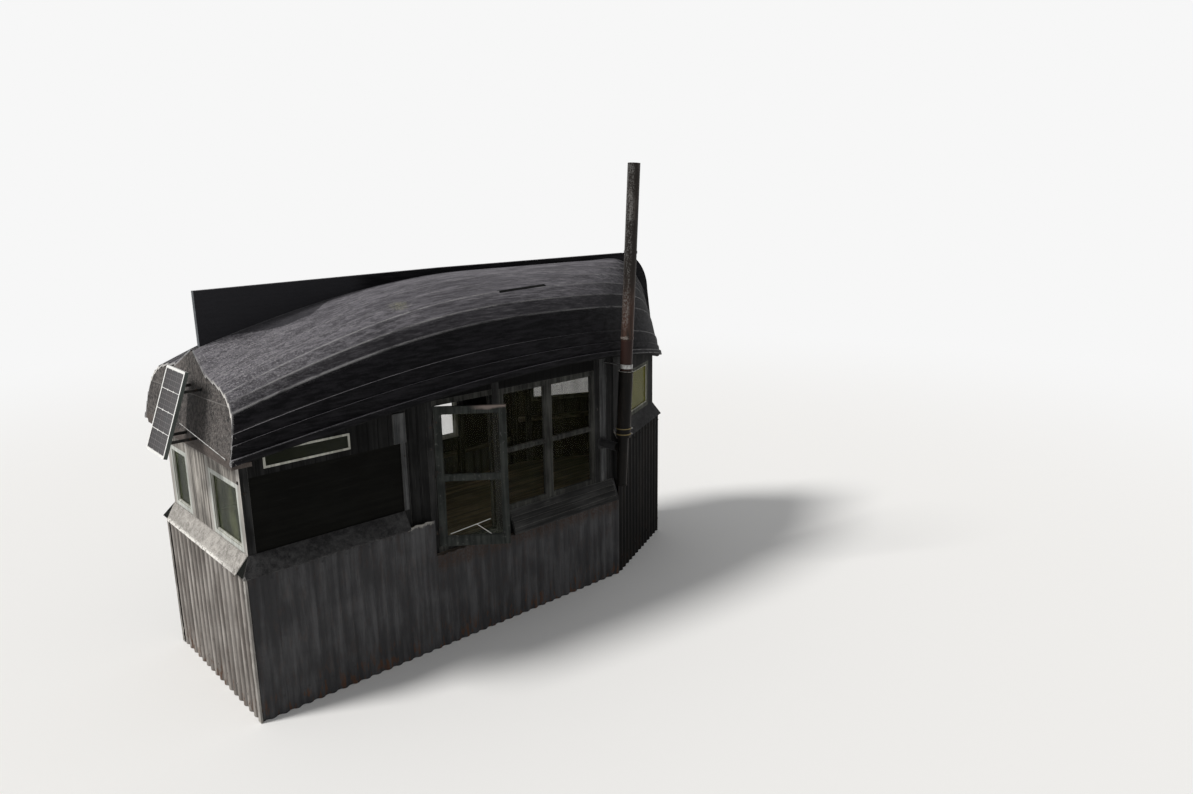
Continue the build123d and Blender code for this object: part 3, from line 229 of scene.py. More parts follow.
class Paint(NodeTools):
    """A material under construction. Its constants go straight on the shader."""

    def __init__(self, name, **constants):
        self.name = name
        self.material = bpy.data.materials.new(name)
        super().__init__(self.material)
        self.shader = self.tree.nodes["Principled BSDF"]
        for socket, value in constants.items():
            self.shader.inputs[socket.replace("_", " ")].default_value = value
        self.place = self.make("TexCoord", {}, ("Object",))
        self.x, self.y, self.z = self.split(self.place)
        self.normal = self.make("NewGeometry", {}, ("True Normal",))
        self.nx, _, self.nz = self.split(self.normal)

    def split(self, vector):
        return self.make("SeparateXYZ", {0: vector}, ("X", "Y", "Z"))

    def noise(self, scale, squeeze=None, detail=4, roughness=0.55):
        """Noise, squeezed along each axis where it runs with the grain."""
        place = self.place
        if squeeze:
            place = self.make("VectorMath", {0: place, 1: squeeze}, operation="MULTIPLY")
        inputs = {"Vector": place, "Scale": scale, "Detail": detail, "Roughness": roughness}
        return self.make("TexNoise", inputs)

    def grains(self, scale):
        """Round grains: 1 at the middle of each, 0 between them."""
        return 1 - self.make("TexVoronoi", {"Vector": self.place, "Scale": scale}, ("Distance",))

    def near(self, value, middle, half, soft):
        """1 within half of a middle, fading out over soft."""
        return self.below(abs(value - middle), half, half + soft)

    def off_middle(self, value):
        """0 at the middle of each whole unit, 0.5 at its ends."""
        return abs(self.maths("FRACT", value) - 0.5)

    def groove(self, along, pitch, width):
        """1 in a narrow joint that repeats at a pitch."""
        return self.band(self.off_middle(along / pitch), 0.5 - width / pitch, 0.5)

    def worn_edges(self, radius, low=0.02, high=0.3):
        """1 on sharp edges, where a rounded normal parts from the true one."""
        rounded = self.make("Bevel", {"Radius": radius}, samples=4)
        return self.band(1 - self.measure("DOT_PRODUCT", rounded, self.normal), low, high)

    def coat(self, amount, colour):
        """Lay a colour over what is there."""
        self.colour = self.mix(amount, self.colour, colour)

    def finish(self, roughness, height, depth):
        """Feed the shader and keep the material under its name."""
        self.feed(self.shader.inputs["Base Color"], self.colour)
        self.feed(self.shader.inputs["Roughness"], roughness)
        bump = self.make("Bump", {"Height": height, "Distance": depth}, ("Normal",))
        self.feed(self.shader.inputs["Normal"], bump)
        finishes[self.name] = self.material
        print("finish", self.name)


print("paint tools ready")

# %% [markdown]
# ## Light
# The shed stands outdoors under a broken sky, lit from the stern and a little from behind the
# front wall. One wide, soft sun and an even pale world give that, at a level where a colour shows
# about as written. The world looks white only to rays that the camera sees, so it adds no light
# to the dark wood.

# %% Light
WHITE, WORLD_LIGHT = 0.93, 0.36
SUN_STRENGTH, SUN_WIDTH = 2.6, radians(14)
TO_THE_SUN = Vector((-0.64, 0.24, 0.73))

bpy.context.scene.view_settings.view_transform = "Standard"
world = bpy.data.worlds.new("studio")
bpy.context.scene.world = world
sky = NodeTools(world)
background = sky.tree.nodes["Background"]
sky.feed(background.inputs["Color"], grey(1))
world_strength = WORLD_LIGHT + sky.seen_rays() * (WHITE - WORLD_LIGHT)
sky.feed(background.inputs["Strength"], world_strength)
sun = bpy.data.lights.new("sun", "SUN")
sun.energy = SUN_STRENGTH
sun.angle = SUN_WIDTH
sun.color = (1, 0.98, 0.95)
sun_holder = bpy.data.objects.new("sun", sun)
sun_holder.rotation_euler = TO_THE_SUN.to_track_quat("Z", "Y").to_euler()
bpy.context.scene.collection.objects.link(sun_holder)
print("sun strength", sun.energy)

# %% [markdown]
# ## Weather on the hull
# Where the tarred planks face the sky they are streaked and dragged with grey, and frosted pale
# towards the stern. Beside the skeg a dark band is painted shade: the skeg's shadow on the planks.
# A patch of lichen lies further up. Each is a coat whose mask is a place and a noise.

# %% Weather on the hull
LICHEN = (-1.067, -0.853, 3.86)


def weather(paint, strokes, cross, skyward):
    """Lay the weather and a painted shadow of the skeg over the tar, mostly where it faces the sky.
    """
    unbrushed = paint.below(strokes * 0.7 + cross * 0.3, 0.4, 0.58)
    paint.coat(unbrushed * 0.6, rgb(0.02, 0.019, 0.022))
    streaks = paint.band(paint.noise(48, (0.08, 1, 1), detail=5), 0.54, 0.66)
    paint.coat(streaks * skyward * 0.5, rgb(0.28, 0.272, 0.285))
    drags = paint.band(paint.noise(5, (0.1, 1.3, 1.3), detail=3), 0.46, 0.58)
    paint.coat(drags * skyward * 0.4, rgb(0.045, 0.043, 0.05))
    frost = paint.below(paint.x, -2.9, -1.2) * skyward * paint.band(cross, 0.5, 0.64)
    paint.coat(frost * 0.6, rgb(0.42, 0.41, 0.42))
    # Painted shadow of the skeg: a dark band beside it on the front planks.
    width = paint.band(paint.x, -2.6, -2.0) * paint.below(paint.x, -1.8, -1.35) * 0.23 + 0.03
    skeg_shadow = paint.below(-paint.y + sway(cross, 0.06) - width, 0, 0.03)
    skeg_shadow = skeg_shadow * paint.band(-paint.y, 0, 0.01) * paint.below(paint.x, -1.2, -0.9)
    paint.coat(skeg_shadow * 0.8, rgb(0.03, 0.03, 0.034))
    lichen = paint.below(paint.measure("DISTANCE", paint.place, LICHEN), 0.04, 0.13)
    paint.coat(lichen * paint.band(cross, 0.42, 0.56) * 0.5, rgb(0.26, 0.26, 0.17))


print("hull weather ready")

# %% [markdown]
# ## Hull paint
# The hull is brushed with tar paint. Where it faces the sky it is painted grey, partly as
# weathering and partly as a painted sheen of the sky, and under the turn of the bilge it is still
# black. The upward edges of the laps get painted highlights as fine pale lines, and the plank ends
# at the stern, facing the sun, get a painted highlight. One short strip of fresh tar crosses the
# planks: it looks straight in the picture, so its mask is a plane through the camera's eye.

# %% Hull paint
STRIP_PLANE, STRIP_LEVEL = (-0.0339, 0.1596, 0.9866), 3.6904
STRIP_MIDDLE, STRIP_HALF, STRIP_THICK = 0.493, 0.372, 0.012


def hull_paint():
    paint = Paint("tarred_hull", Specular_IOR_Level=0.05)
    strokes = paint.noise(20, (0.16, 1.6, 1.6), detail=9, roughness=0.7)
    cross = paint.noise(110, (0.5, 0.6, 0.8), detail=6, roughness=0.72)
    patches = paint.noise(1.3, (0.5, 1.8, 1.8), detail=6, roughness=0.62)
    # Sky-facing planks turn grey: weathering, and a painted sheen of the sky.
    skyward = paint.band(paint.nz + sway(patches, 0.4) + sway(strokes, 0.3), 0.42, 0.92)
    paint.colour = paint.mix(skyward, rgb(0.003, 0.003, 0.0036), rgb(0.17, 0.163, 0.18))
    weather(paint, strokes, cross, skyward)
    # Painted highlights along the upward lap edges, dimmer where less light would fall.
    lap_highlights = paint.worn_edges(0.03, 0.004, 0.05) * paint.band(paint.nz, 0.02, 0.15)
    lit = paint.below(abs(paint.y), 1.2, 1.31) * 0.5 + 0.3
    lit = lit * (1 - paint.band(paint.nz, 0.78, 0.88) * 0.75)
    lit = lit * (1 - paint.band(paint.x, -1.6, 1) * 0.5)
    broken = paint.band(paint.noise(9, (0.5, 1, 1), detail=5), 0.36, 0.5) * 0.6 + 0.4
    paint.coat(lap_highlights * broken * lit, rgb(0.42, 0.415, 0.42))
    across = paint.measure("DOT_PRODUCT", paint.place, STRIP_PLANE)
    strip = paint.near(across, STRIP_LEVEL, STRIP_THICK, 0.003)
    strip = strip * paint.near(paint.x, STRIP_MIDDLE, STRIP_HALF, 0.006)
    strip = strip * paint.band(-paint.y, 0.7, 0.8)
    paint.coat(strip, grey(0.003))
    # Painted highlight on the plank ends that face the sun at the stern.
    sternward = paint.band(-paint.nx, 0.6, 0.8)
    lit_plank_ends = sternward * paint.below(paint.x, -2.95, -2.9)
    lit_plank_ends = lit_plank_ends * paint.band(paint.z + sway(patches, 0.2), 2.96, 3.06)
    paint.coat(lit_plank_ends * 0.9, rgb(0.66, 0.64, 0.61))
    heel = sternward * paint.near(paint.x, -2.8, 0.08, 0.01) * paint.band(patches, 0.3, 0.6)
    paint.coat(heel * 0.7, rgb(0.2, 0.215, 0.23))
    chips = paint.band(paint.noise(42, detail=5), 0.6, 0.66) * paint.below(paint.x, -3.02, -2.94)
    paint.coat(chips * 0.6, rgb(0.45, 0.44, 0.42))
    height = strokes * 0.8 + cross * 0.3 + strip * 0.5
    paint.finish(0.5 + strokes * 0.25 + skyward * 0.1, height, 0.007)


hull_paint()

# %% [markdown]
# ## Transom paint
# The transom is rough and speckled dark grey, with one level seam across it and a browner foot.
# It faces the light, so a flat black would look wrong. Two sizes of noise give the speckles.

# %% Transom paint
SEAM_Z = 3.105


def transom_paint():
    paint = Paint("transom_paint", Specular_IOR_Level=0.2)
    rough = paint.noise(30, detail=9, roughness=0.75)
    speck = paint.band(paint.noise(95, detail=5, roughness=0.7), 0.56, 0.66)
    patches = paint.noise(3, (1, 1, 0.5), detail=5)
    tone = paint.band(rough + patches * 0.4, 0.54, 0.86)
    paint.colour = paint.mix(tone, rgb(0.012, 0.011, 0.011), rgb(0.145, 0.13, 0.122))
    near_front = paint.band(-paint.y, 0.3, 0.9) * 0.5 + 0.35
    paint.coat(speck * near_front, rgb(0.34, 0.33, 0.32))
    seam = paint.near(paint.z + paint.y * 0.04, SEAM_Z, 0.003, 0.004)
    paint.coat(seam * 0.8, rgb(0.2, 0.19, 0.18))
    foot = paint.below(paint.z + rough * 0.08, 2.72, 2.78)
    paint.coat(foot * 0.7, rgb(0.085, 0.068, 0.06))
    paint.finish(0.7 + rough * 0.2, rough * 0.8 + speck * 0.3 - seam, 0.006)


transom_paint()

# %% [markdown]
# ## Sheet paint
# The corrugated sheets wear thin paint that has run and faded in upright streaks.
# The stern sheet faces the sun and is painted paler as painted sunlight, the front one is nearly
# black, the bow ones are painted darker still as painted shade, and rust starts at the foot. The
# valleys of the stern waves are darkened as painted shade. A noise squeezed upright makes the
# streaks, and the place along the shed sets how pale they are.

# %% Sheet paint
STERN_SHEET_X = -2.972
ROUND_THE_BOW = (1.84, 1.9)


def sheet_paint():
    paint = Paint("grey_sheet", Specular_IOR_Level=0.1)
    streaks = paint.noise(11, (1, 1, 0.1), detail=6, roughness=0.6)
    patches = paint.noise(2.4, detail=5)
    mottle = paint.noise(45, detail=6, roughness=0.65)
    stern = paint.below(paint.x, STERN_SHEET_X - 0.0005, STERN_SHEET_X + 0.0005)
    bow = paint.band(paint.x, *ROUND_THE_BOW)
    faded = paint.band(streaks + sway(patches, 0.5), 0.38, 0.7)
    front = paint.mix(faded, rgb(0.038, 0.038, 0.04), rgb(0.078, 0.078, 0.081))
    # Painted sunlight: the stern sheet is a paler copy of the same paint.
    sunlit_colour = paint.mix(faded, rgb(0.18, 0.164, 0.15), rgb(0.39, 0.365, 0.34))
    # Painted shade in the valleys of the stern waves.
    valley_shade = paint.band(paint.x, -2.998, -2.982)
    sunlit_colour = paint.mix(valley_shade * 0.62, sunlit_colour, rgb(0.06, 0.054, 0.05))
    edge = paint.band(-paint.y + sway(mottle, 0.06), 1.052, 1.075)
    sunlit_colour = paint.mix(edge * 0.6, sunlit_colour, rgb(0.46, 0.44, 0.42))
    # Painted shade: the bow sheets are nearly black.
    dark = paint.mix(faded, grey(0.003), rgb(0.01, 0.009, 0.008))
    paint.colour = paint.mix(bow, paint.mix(stern, front, sunlit_colour), dark)
    paint.coat(paint.band(mottle, 0.56, 0.7) * 0.3, rgb(0.02, 0.019, 0.018))
    low = paint.below(paint.z + sway(streaks, 0.6), 0.02, 0.35)
    rust = paint.band(paint.noise(24, (1, 1, 0.3), detail=7), 0.52, 0.64) * (low * 0.7 + 0.08)
    rust = rust * (1 - bow * 0.8)
    paint.coat(rust, rgb(0.1, 0.05, 0.028))
    under = paint.band(paint.x, -0.93, -0.9) * (1 - bow) * paint.band(-paint.y, 0.9, 1)
    under = under * paint.band(paint.z + sway(streaks, 0.3), 0.86, 0.98)
    under = under * paint.band(mottle + sway(streaks, 0.4), 0.35, 0.6)
    paint.coat(under * 0.7, rgb(0.045, 0.026, 0.017))
    torn = paint.band(paint.x, -1.3, -1.24) * paint.below(paint.x, -1.0, -0.92)
    torn = torn * paint.band(paint.z + sway(mottle, 0.12), 1.485, 1.5)
    paint.coat(torn * 0.8, rgb(0.3, 0.29, 0.27))
    height = streaks * 0.5 + mottle * 0.3 + rust * 0.4
    paint.finish(0.55 + streaks * 0.2 + rust * 0.2, height, 0.0016)


sheet_paint()

# %% [markdown]
# ## Board finishes
# Boards, posts and frames are all weathered timber, so one recipe serves them. It takes the dark
# and the light tone, the way the grain runs, and where the joints between boards fall. Faces that
# look towards the stern, into the sun, are painted paler as painted sunlight, which the surface
# direction gives, and under the eaves the front boards are darkened above a height as painted
# shade.

# %% Board finishes
SQUEEZE = {"x": (0.1, 2, 2), "y": (2, 0.1, 2), "z": (2, 2, 0.1)}
STERN_GREY, PALE_STERN = rgb(0.5, 0.48, 0.45), rgb(0.64, 0.66, 0.62)
STERN_WINDOWS = (-2.85, -2.8)


def boards(
    name, dark, light, grain_along, joint=None, pitch=0.14,
    sunlit_stern=None, flaking=0.1, wear=0.0, eaves_shade_height=None,
):
    paint = Paint(name, Specular_IOR_Level=0.06)
    squeeze = SQUEEZE[grain_along]
    grain = paint.noise(13, squeeze, detail=8, roughness=0.64)
    fine = paint.noise(70, squeeze, detail=4)
    tone = paint.band(grain + sway(paint.noise(2.7, detail=6), 0.6), 0.34, 0.74)
    height = grain * 0.6 + fine * 0.35
    paint.colour = paint.mix(tone, dark, light)
    if sunlit_stern:
        # Painted sunlight: faces towards the stern get the paler colour.
        stern = paint.band(-paint.nx, 0.55, 0.75) * paint.below(paint.x, *STERN_WINDOWS)
        paint.coat(stern, paint.mix(tone, rgb(*[0.55 * part for part in sunlit_stern[:3]]), sunlit_stern))
    paint.coat(paint.band(fine, 0.58, 0.72) * 0.4, grey(0.008))
    flakes = paint.band(paint.noise(19, squeeze, detail=9, roughness=0.72), 0.6, 0.66)
    paint.coat(flakes * flaking, rgb(0.33, 0.32, 0.3))
    if wear:
        paint.coat(paint.worn_edges(0.006) * wear, rgb(0.3, 0.29, 0.27))
    if joint:
        along = getattr(paint, joint)
        board = paint.maths("FLOOR", along / pitch)
        shade = paint.make("TexWhiteNoise", {"W": board}, noise_dimensions="1D")
        paint.coat(shade * 0.35, grey(0.012))
        seam = paint.groove(along, pitch, 0.005)
        paint.coat(seam * 0.9, grey(0.004))
        height = height - seam * 2
    # Painted shade under the eaves, above a height.
    if eaves_shade_height:
        paint.coat(paint.band(paint.z, eaves_shade_height - 0.04, eaves_shade_height) * 0.75, grey(0.003))
    paint.finish(0.66 + grain * 0.25, height, 0.0028)


print("board recipe ready")

# %% [markdown]
# ## The timbers
# Each timber is the same recipe with its own two tones and its own grain. Boards that lie side by
# side also say along which axis their joints come, and how wide one board is.

# %% The timbers
boards("frame_timber", rgb(0.05, 0.042, 0.035), rgb(0.15, 0.125, 0.1), "x")
boards("post_timber", grey(0.01), grey(0.036), "z", sunlit_stern=STERN_GREY, wear=0.3)
boards("front_board", grey(0.005), grey(0.02), "z", "x", 0.115, flaking=0.06, eaves_shade_height=2.84)
boards("stern_board", rgb(0.15, 0.14, 0.128), rgb(0.5, 0.47, 0.43), "z", "y", 0.122, flaking=0.3)
boards("bow_board", grey(0.012), rgb(0.042, 0.042, 0.041), "z", "y", 0.1)
boards("corner_trim", rgb(0.14, 0.13, 0.12), rgb(0.48, 0.46, 0.43), "z", flaking=0.5, wear=0.6)
weathered = rgb(0.035, 0.036, 0.037), rgb(0.11, 0.112, 0.113)
boards("loose_board", *weathered, "z", flaking=0.25, wear=0.4)
boards("ledge_board", grey(0.016), rgb(0.055, 0.055, 0.054), "x", flaking=0.15, wear=0.5)
boards("black_panel", rgb(0.0025, 0.0025, 0.002), rgb(0.006, 0.006, 0.005), "x", flaking=0.01)
dark_grey = rgb(0.018, 0.018, 0.017), rgb(0.064, 0.065, 0.059)
boards("joinery", *dark_grey, "z", flaking=0.15, wear=0.3)
pale_green = rgb(0.27, 0.27, 0.235), rgb(0.58, 0.58, 0.52)
boards("pale_joinery", *pale_green, "z", sunlit_stern=PALE_STERN, flaking=0.3, wear=0.4)
# Painted glint: the cracks in the door pane are near-white.
boards("crack_glint", rgb(0.7, 0.7, 0.68), rgb(0.9, 0.9, 0.88), "x", flaking=0)
dull_green = rgb(0.04, 0.042, 0.036), rgb(0.12, 0.122, 0.105)
boards("bow_joinery", *dull_green, "z", flaking=0.2, wear=0.7)
boards("floor_boards", rgb(0.13, 0.093, 0.058), rgb(0.33, 0.245, 0.16), "x", "y", 0.12)
boards("eaves_timber", grey(0.006), grey(0.02), "x")

# %% [markdown]
# ## Felt on the skirt boards
# The sloping boards are covered with mineral roofing felt. At the stern, in the sun, it is painted
# pale as painted sunlight, with a painted highlight along its lip, and along the front and the bow
# it is dark as painted shade. Round grains from a Voronoi texture make the mineral face. The stern
# felt stops short of the corners, and beyond its leaning end a near-black wedge is painted shade in
# the hollow at the corner.

# %% Felt on the skirt boards
FELT_END, FELT_LEAN = 0.985, 0.28


def felt():
    paint = Paint("skirt_felt", Specular_IOR_Level=0.08)
    grit = paint.grains(260)
    rough = paint.noise(17, detail=7, roughness=0.65)
    stains = paint.noise(2.2, (1, 1, 2), detail=5)
    stern = paint.band(-paint.nx, 0.3, 0.45)
    tone = paint.band(rough + sway(stains, 0.8), 0.3, 0.75)
    # Painted shade and sunlight: a dark copy for the front and bow felt, a pale one for the stern.
    dark = paint.mix(tone, rgb(0.013, 0.013, 0.014), rgb(0.052, 0.052, 0.053))
    sunlit_colour = paint.mix(tone, rgb(0.24, 0.227, 0.21), rgb(0.5, 0.475, 0.445))
    by_windows = paint.band(paint.z + sway(stains, 0.12), 1.66, 1.76)
    sunlit_colour = paint.mix(by_windows * 0.45, sunlit_colour, rgb(0.15, 0.125, 0.105))
    paint.colour = paint.mix(stern, dark, sunlit_colour)
    paint.coat(paint.band(grit, 0.55, 0.8) * (stern * 0.12 + 0.18), rgb(0.33, 0.32, 0.31))
    paint.coat(paint.band(rough, 0.6, 0.72) * (0.35 - stern * 0.2), rgb(0.06, 0.058, 0.055))
    speck = paint.noise(120, detail=3, roughness=0.7)
    paint.coat(paint.band(speck, 0.54, 0.62) * stern * 0.5, rgb(0.78, 0.76, 0.72))
    paint.coat(paint.below(speck, 0.38, 0.46) * stern * 0.5, rgb(0.13, 0.12, 0.11))
    # Painted shade on the bow felt.
    paint.coat(paint.band(paint.x, *ROUND_THE_BOW) * 0.4, rgb(0.03, 0.03, 0.032))
    # Painted highlight along the stern lip, broken by noise.
    lip = paint.below(paint.x, -3.01, -3.0) * paint.below(paint.z + sway(rough, 0.14), 1.54, 1.555)
    lip = lip * paint.band(rough + sway(speck, 0.5), 0.38, 0.46)
    lip = lip * (1 - paint.band(-paint.y, 0.4, 0.95) * 0.7)
    paint.coat(lip * 0.9, rgb(0.88, 0.86, 0.82))
    corner = paint.below(paint.x, -2.99, -2.95)
    # Worn edges, brighter on the stern as a painted highlight.
    worn_and_lit_edge = paint.worn_edges(0.008) * (stern * 0.45 + corner * 0.15 + 0.03)
    paint.coat(worn_and_lit_edge, rgb(0.6, 0.57, 0.54))
    # Painted shade: a near-black wedge in the hollow beyond the stern felt's end.
    bare = abs(paint.y) - (paint.z - SKIRT_FOOT) * FELT_LEAN
    paint.coat(paint.band(bare, FELT_END, FELT_END + 0.004) * stern, rgb(0.005, 0.006, 0.005))
    paint.finish(0.85, grit * 0.5 + rough * 0.8, 0.003)


felt()

# %% [markdown]
# ## Panes
# Old window glass is thin, a little green, and dirty along its foot. A real glass shader would
# darken the room, so the pane is a glossy film that lets most of the view through, and dirt makes
# it thicker. The slot window, the bow and the stern show less of the inside, so their film is
# thicker still. On the stern panes the film carries a painted reflection of green outdoors, mixed
# with murk, and on the bow panes a painted olive reflection of the meadow.

# %% Panes
CLEAR = 0.12


def glass(name, dirty_foot):
    paint = Paint(name, IOR=1.5, Specular_IOR_Level=0.08)
    dirt = paint.noise(5, (1, 1, 0.4), detail=7)
    runs = paint.noise(24, (1, 1, 0.12), detail=5)
    foot = paint.below(paint.z + sway(dirt, 0.3), dirty_foot, dirty_foot + 0.25)
    slot = paint.band(paint.z, 2.48, 2.49) * paint.below(paint.x, -1.82, -1.8)
    slot = slot * paint.band(-paint.y, 0.96, 0.97)
    veil = paint.band(dirt, 0.45, 0.8) * 0.06 + paint.band(runs, 0.5, 0.8) * 0.03 + foot * 0.08
    bow = paint.band(paint.x, 1.88, 1.92)
    stern = paint.below(paint.x, *STERN_WINDOWS)
    film = CLEAR + veil + slot * 0.82 + bow * 0.4 + stern * 0.4
    paint.feed(paint.shader.inputs["Alpha"], film)
    paint.colour = paint.mix(dirt, rgb(0.017, 0.018, 0.008), rgb(0.05, 0.049, 0.02))
    paint.coat(foot * 0.6, rgb(0.1, 0.115, 0.09))
    # Painted reflection of green outdoors on the stern panes, mixed with murk.
    murk_and_reflection = paint.band(dirt + sway(runs, 0.4), 0.4, 0.68)
    paint.coat(stern * 0.9, paint.mix(murk_and_reflection, rgb(0.014, 0.022, 0.007), rgb(0.1, 0.115, 0.055)))
    # Painted reflection of the olive meadow on the bow panes.
    paint.coat(bow * 0.92, paint.mix(runs, rgb(0.09, 0.088, 0.006), rgb(0.23, 0.222, 0.03)))
    dusty = paint.band(dirt, 0.5, 0.8)
    paint.coat(slot, paint.mix(dusty, rgb(0.007, 0.009, 0.003), rgb(0.03, 0.034, 0.012)))
    paint.finish(0.22 + veil, dirt, 0.00002)


glass("pane", 1.2)
glass("door_pane", 1.22)

# %% [markdown]
# ## Flue iron
# The flue is black stove paint that has burnt off in places, with warm rust below its first
# joint; on the side towards the sun the worn paint gets a painted highlight. The wide sleeve is
# sootier, with a painted highlight on its upper rim and two brassy bands. Height alone tells
# these apart.

# %% Flue iron
JOINT_HEIGHTS, CLAMP_HEIGHTS = (3.222, 4.252), (2.046, 2.116)
SLEEVE_RIM = 2.832


def flue_iron():
    paint = Paint("flue_iron", Specular_IOR_Level=0.08)
    streaks = paint.noise(12, (1, 1, 0.16), detail=8, roughness=0.66)
    blisters = paint.noise(60, detail=6)
    bare = paint.band(streaks + sway(blisters, 0.3), 0.5, 0.72)
    paint.colour = paint.mix(bare, rgb(0.02, 0.017, 0.015), rgb(0.1, 0.088, 0.078))
    warm = paint.below(paint.z + sway(streaks, 0.8), 3.4, 4.1) * paint.band(streaks, 0.3, 0.56)
    paint.coat(warm * 0.8, rgb(0.07, 0.037, 0.027))
    # Painted highlight: worn paint on the sunward side is lightened.
    worn_and_lit = paint.band(blisters + sway(streaks, 0.7), 0.45, 0.62) * paint.band(paint.z, 3.25, 3.5)
    paint.coat(paint.band(-paint.nx, 0.35, 0.85) * worn_and_lit * 0.4, rgb(0.24, 0.24, 0.235))
    paint.coat(paint.below(paint.z, 3.19, 3.24) * 0.8, rgb(0.022, 0.011, 0.01))
    soot = paint.mix(bare, rgb(0.005, 0.0045, 0.004), rgb(0.02, 0.016, 0.013))
    soot = paint.mix(paint.band(paint.nx, 0.2, 0.8) * 0.7, soot, rgb(0.03, 0.013, 0.008))
    soot = paint.mix(paint.band(paint.y, -1.33, -1.31), soot, rgb(0.036, 0.036, 0.037))
    paint.coat(paint.below(paint.z, 2.83, 2.86), soot)
    flash = paint.near(paint.z + sway(blisters, 0.12), 3.245, 0.007, 0.01)
    paint.coat(flash * paint.band(-paint.nx, 0.4, 0.7) * 0.5, rgb(0.3, 0.28, 0.26))
    # Painted highlight on the sleeve's upper rim.
    rim_highlight = paint.near(paint.z, SLEEVE_RIM, 0.006, 0.003) * paint.band(paint.nz, 0.5, 0.8)
    paint.coat(rim_highlight * 0.85, rgb(0.62, 0.6, 0.56))
    low_band, high_band = [paint.near(paint.z, z, 0.006, 0.001) for z in CLAMP_HEIGHTS]
    paint.coat((low_band + high_band) * 0.8, rgb(0.24, 0.19, 0.09))
    paint.finish(0.42 + bare * 0.3, streaks * 0.4 + blisters * 0.5, 0.0012)


flue_iron()

# %% [markdown]
# ## Bare metal and the solar frame
# Screws, straps and the stay are dull zinc with a little rust. The solar frame is white on the
# face that looks at the sun and on faces that look up, as painted sunlight, and dark green-grey on
# its sides as painted shade, so its mask is the surface direction.

# %% Bare metal and the solar frame
SOLAR_TILT = radians(20)
SOLAR_OUT = Vector((-cos(SOLAR_TILT), 0, sin(SOLAR_TILT)))


def zinc(name, dark, light, rusted):
    paint = Paint(name, Metallic=0.5, Specular_IOR_Level=0.2)
    spots = paint.noise(55, detail=6)
    runs = paint.noise(18, (1, 1, 0.3), detail=5)
    paint.colour = paint.mix(paint.band(runs, 0.35, 0.7), dark, light)
    rust = paint.band(spots, 0.6 - rusted * 0.2, 0.7)
    paint.coat(rust * 0.7, rgb(0.14, 0.07, 0.035))
    paint.finish(0.42 + rust * 0.4 + runs * 0.1, spots, 0.0008)


def solar_frame():
    paint = Paint("solar_frame", Specular_IOR_Level=0.4)
    # Painted sunlight and shade: white on the sunward and upward faces, dark on the sides.
    facing = paint.measure("DOT_PRODUCT", paint.normal, tuple(SOLAR_OUT))
    dull = paint.noise(9, detail=6)
    sunlit_white = paint.mix(dull, rgb(0.72, 0.72, 0.7), rgb(0.84, 0.84, 0.82))
    side = paint.mix(dull, rgb(0.03, 0.04, 0.035), rgb(0.075, 0.09, 0.08))
    paint.colour = paint.mix(paint.band(facing, 0.8, 0.95), side, sunlit_white)
    paint.coat(paint.band(paint.nz, 0.7, 0.9) * 0.5, sunlit_white)
    paint.finish(0.35 + dull * 0.15, dull, 0.0003)


zinc("steel_fittings", grey(0.2), rgb(0.45, 0.45, 0.44), 0.2)
zinc("dark_iron", grey(0.012), rgb(0.035, 0.033, 0.03), 0.1)
solar_frame()

# %% [markdown]
# ## Solar cells
# Behind the clear face lie four rows of three dark cells. White lines part the rows, with small
# bright diamonds where the clipped corners of the cells meet, and fine silver wires cross every
# cell. The pattern must follow the leaning face, so it reads the face's own UV map.

# %% Solar cells
CELL_COLUMNS, CELL_ROWS = 3, 4
WIRES_PER_CELL, FINGERS_PER_CELL = 3, 4


def solar_cells():
    paint = Paint("solar_cells", Specular_IOR_Level=0.12)
    across, down, _ = paint.split(paint.make("TexCoord", {}, ("UV",)))
    column = paint.off_middle(across * CELL_COLUMNS)
    row = paint.off_middle(down * CELL_ROWS)
    wires = paint.band(paint.off_middle(across * CELL_COLUMNS * WIRES_PER_CELL), 0.45, 0.48)
    fingers = paint.band(paint.off_middle(down * CELL_ROWS * FINGERS_PER_CELL), 0.44, 0.48)
    shift = paint.noise(7, detail=3)
    paint.colour = paint.mix(shift, rgb(0.013, 0.015, 0.018), rgb(0.04, 0.032, 0.032))
    paint.coat(paint.maths("MAXIMUM", wires, fingers) * 0.34, rgb(0.26, 0.24, 0.24))
    paint.coat(paint.below(row, 0.006, 0.012) * 0.25, rgb(0.25, 0.24, 0.24))
    paint.coat(paint.band(column, 0.487, 0.493) * 0.4, rgb(0.4, 0.38, 0.38))
    row_line = paint.band(row, 0.484, 0.49)
    diamond = paint.band(row + column, 0.93, 0.94)
    paint.coat(paint.maths("MAXIMUM", row_line, diamond), rgb(0.82, 0.82, 0.8))
    paint.finish(0.3 + shift * 0.1, wires, 0.0001)


solar_cells()

# %% [markdown]
# ## The door's paint
# The door leaf is dark grey-green. Its free top corner is knocked and worn back to pinkish
# undercoat. The wear is a mask of height and noise, on the leaf alone.

# %% The door's paint


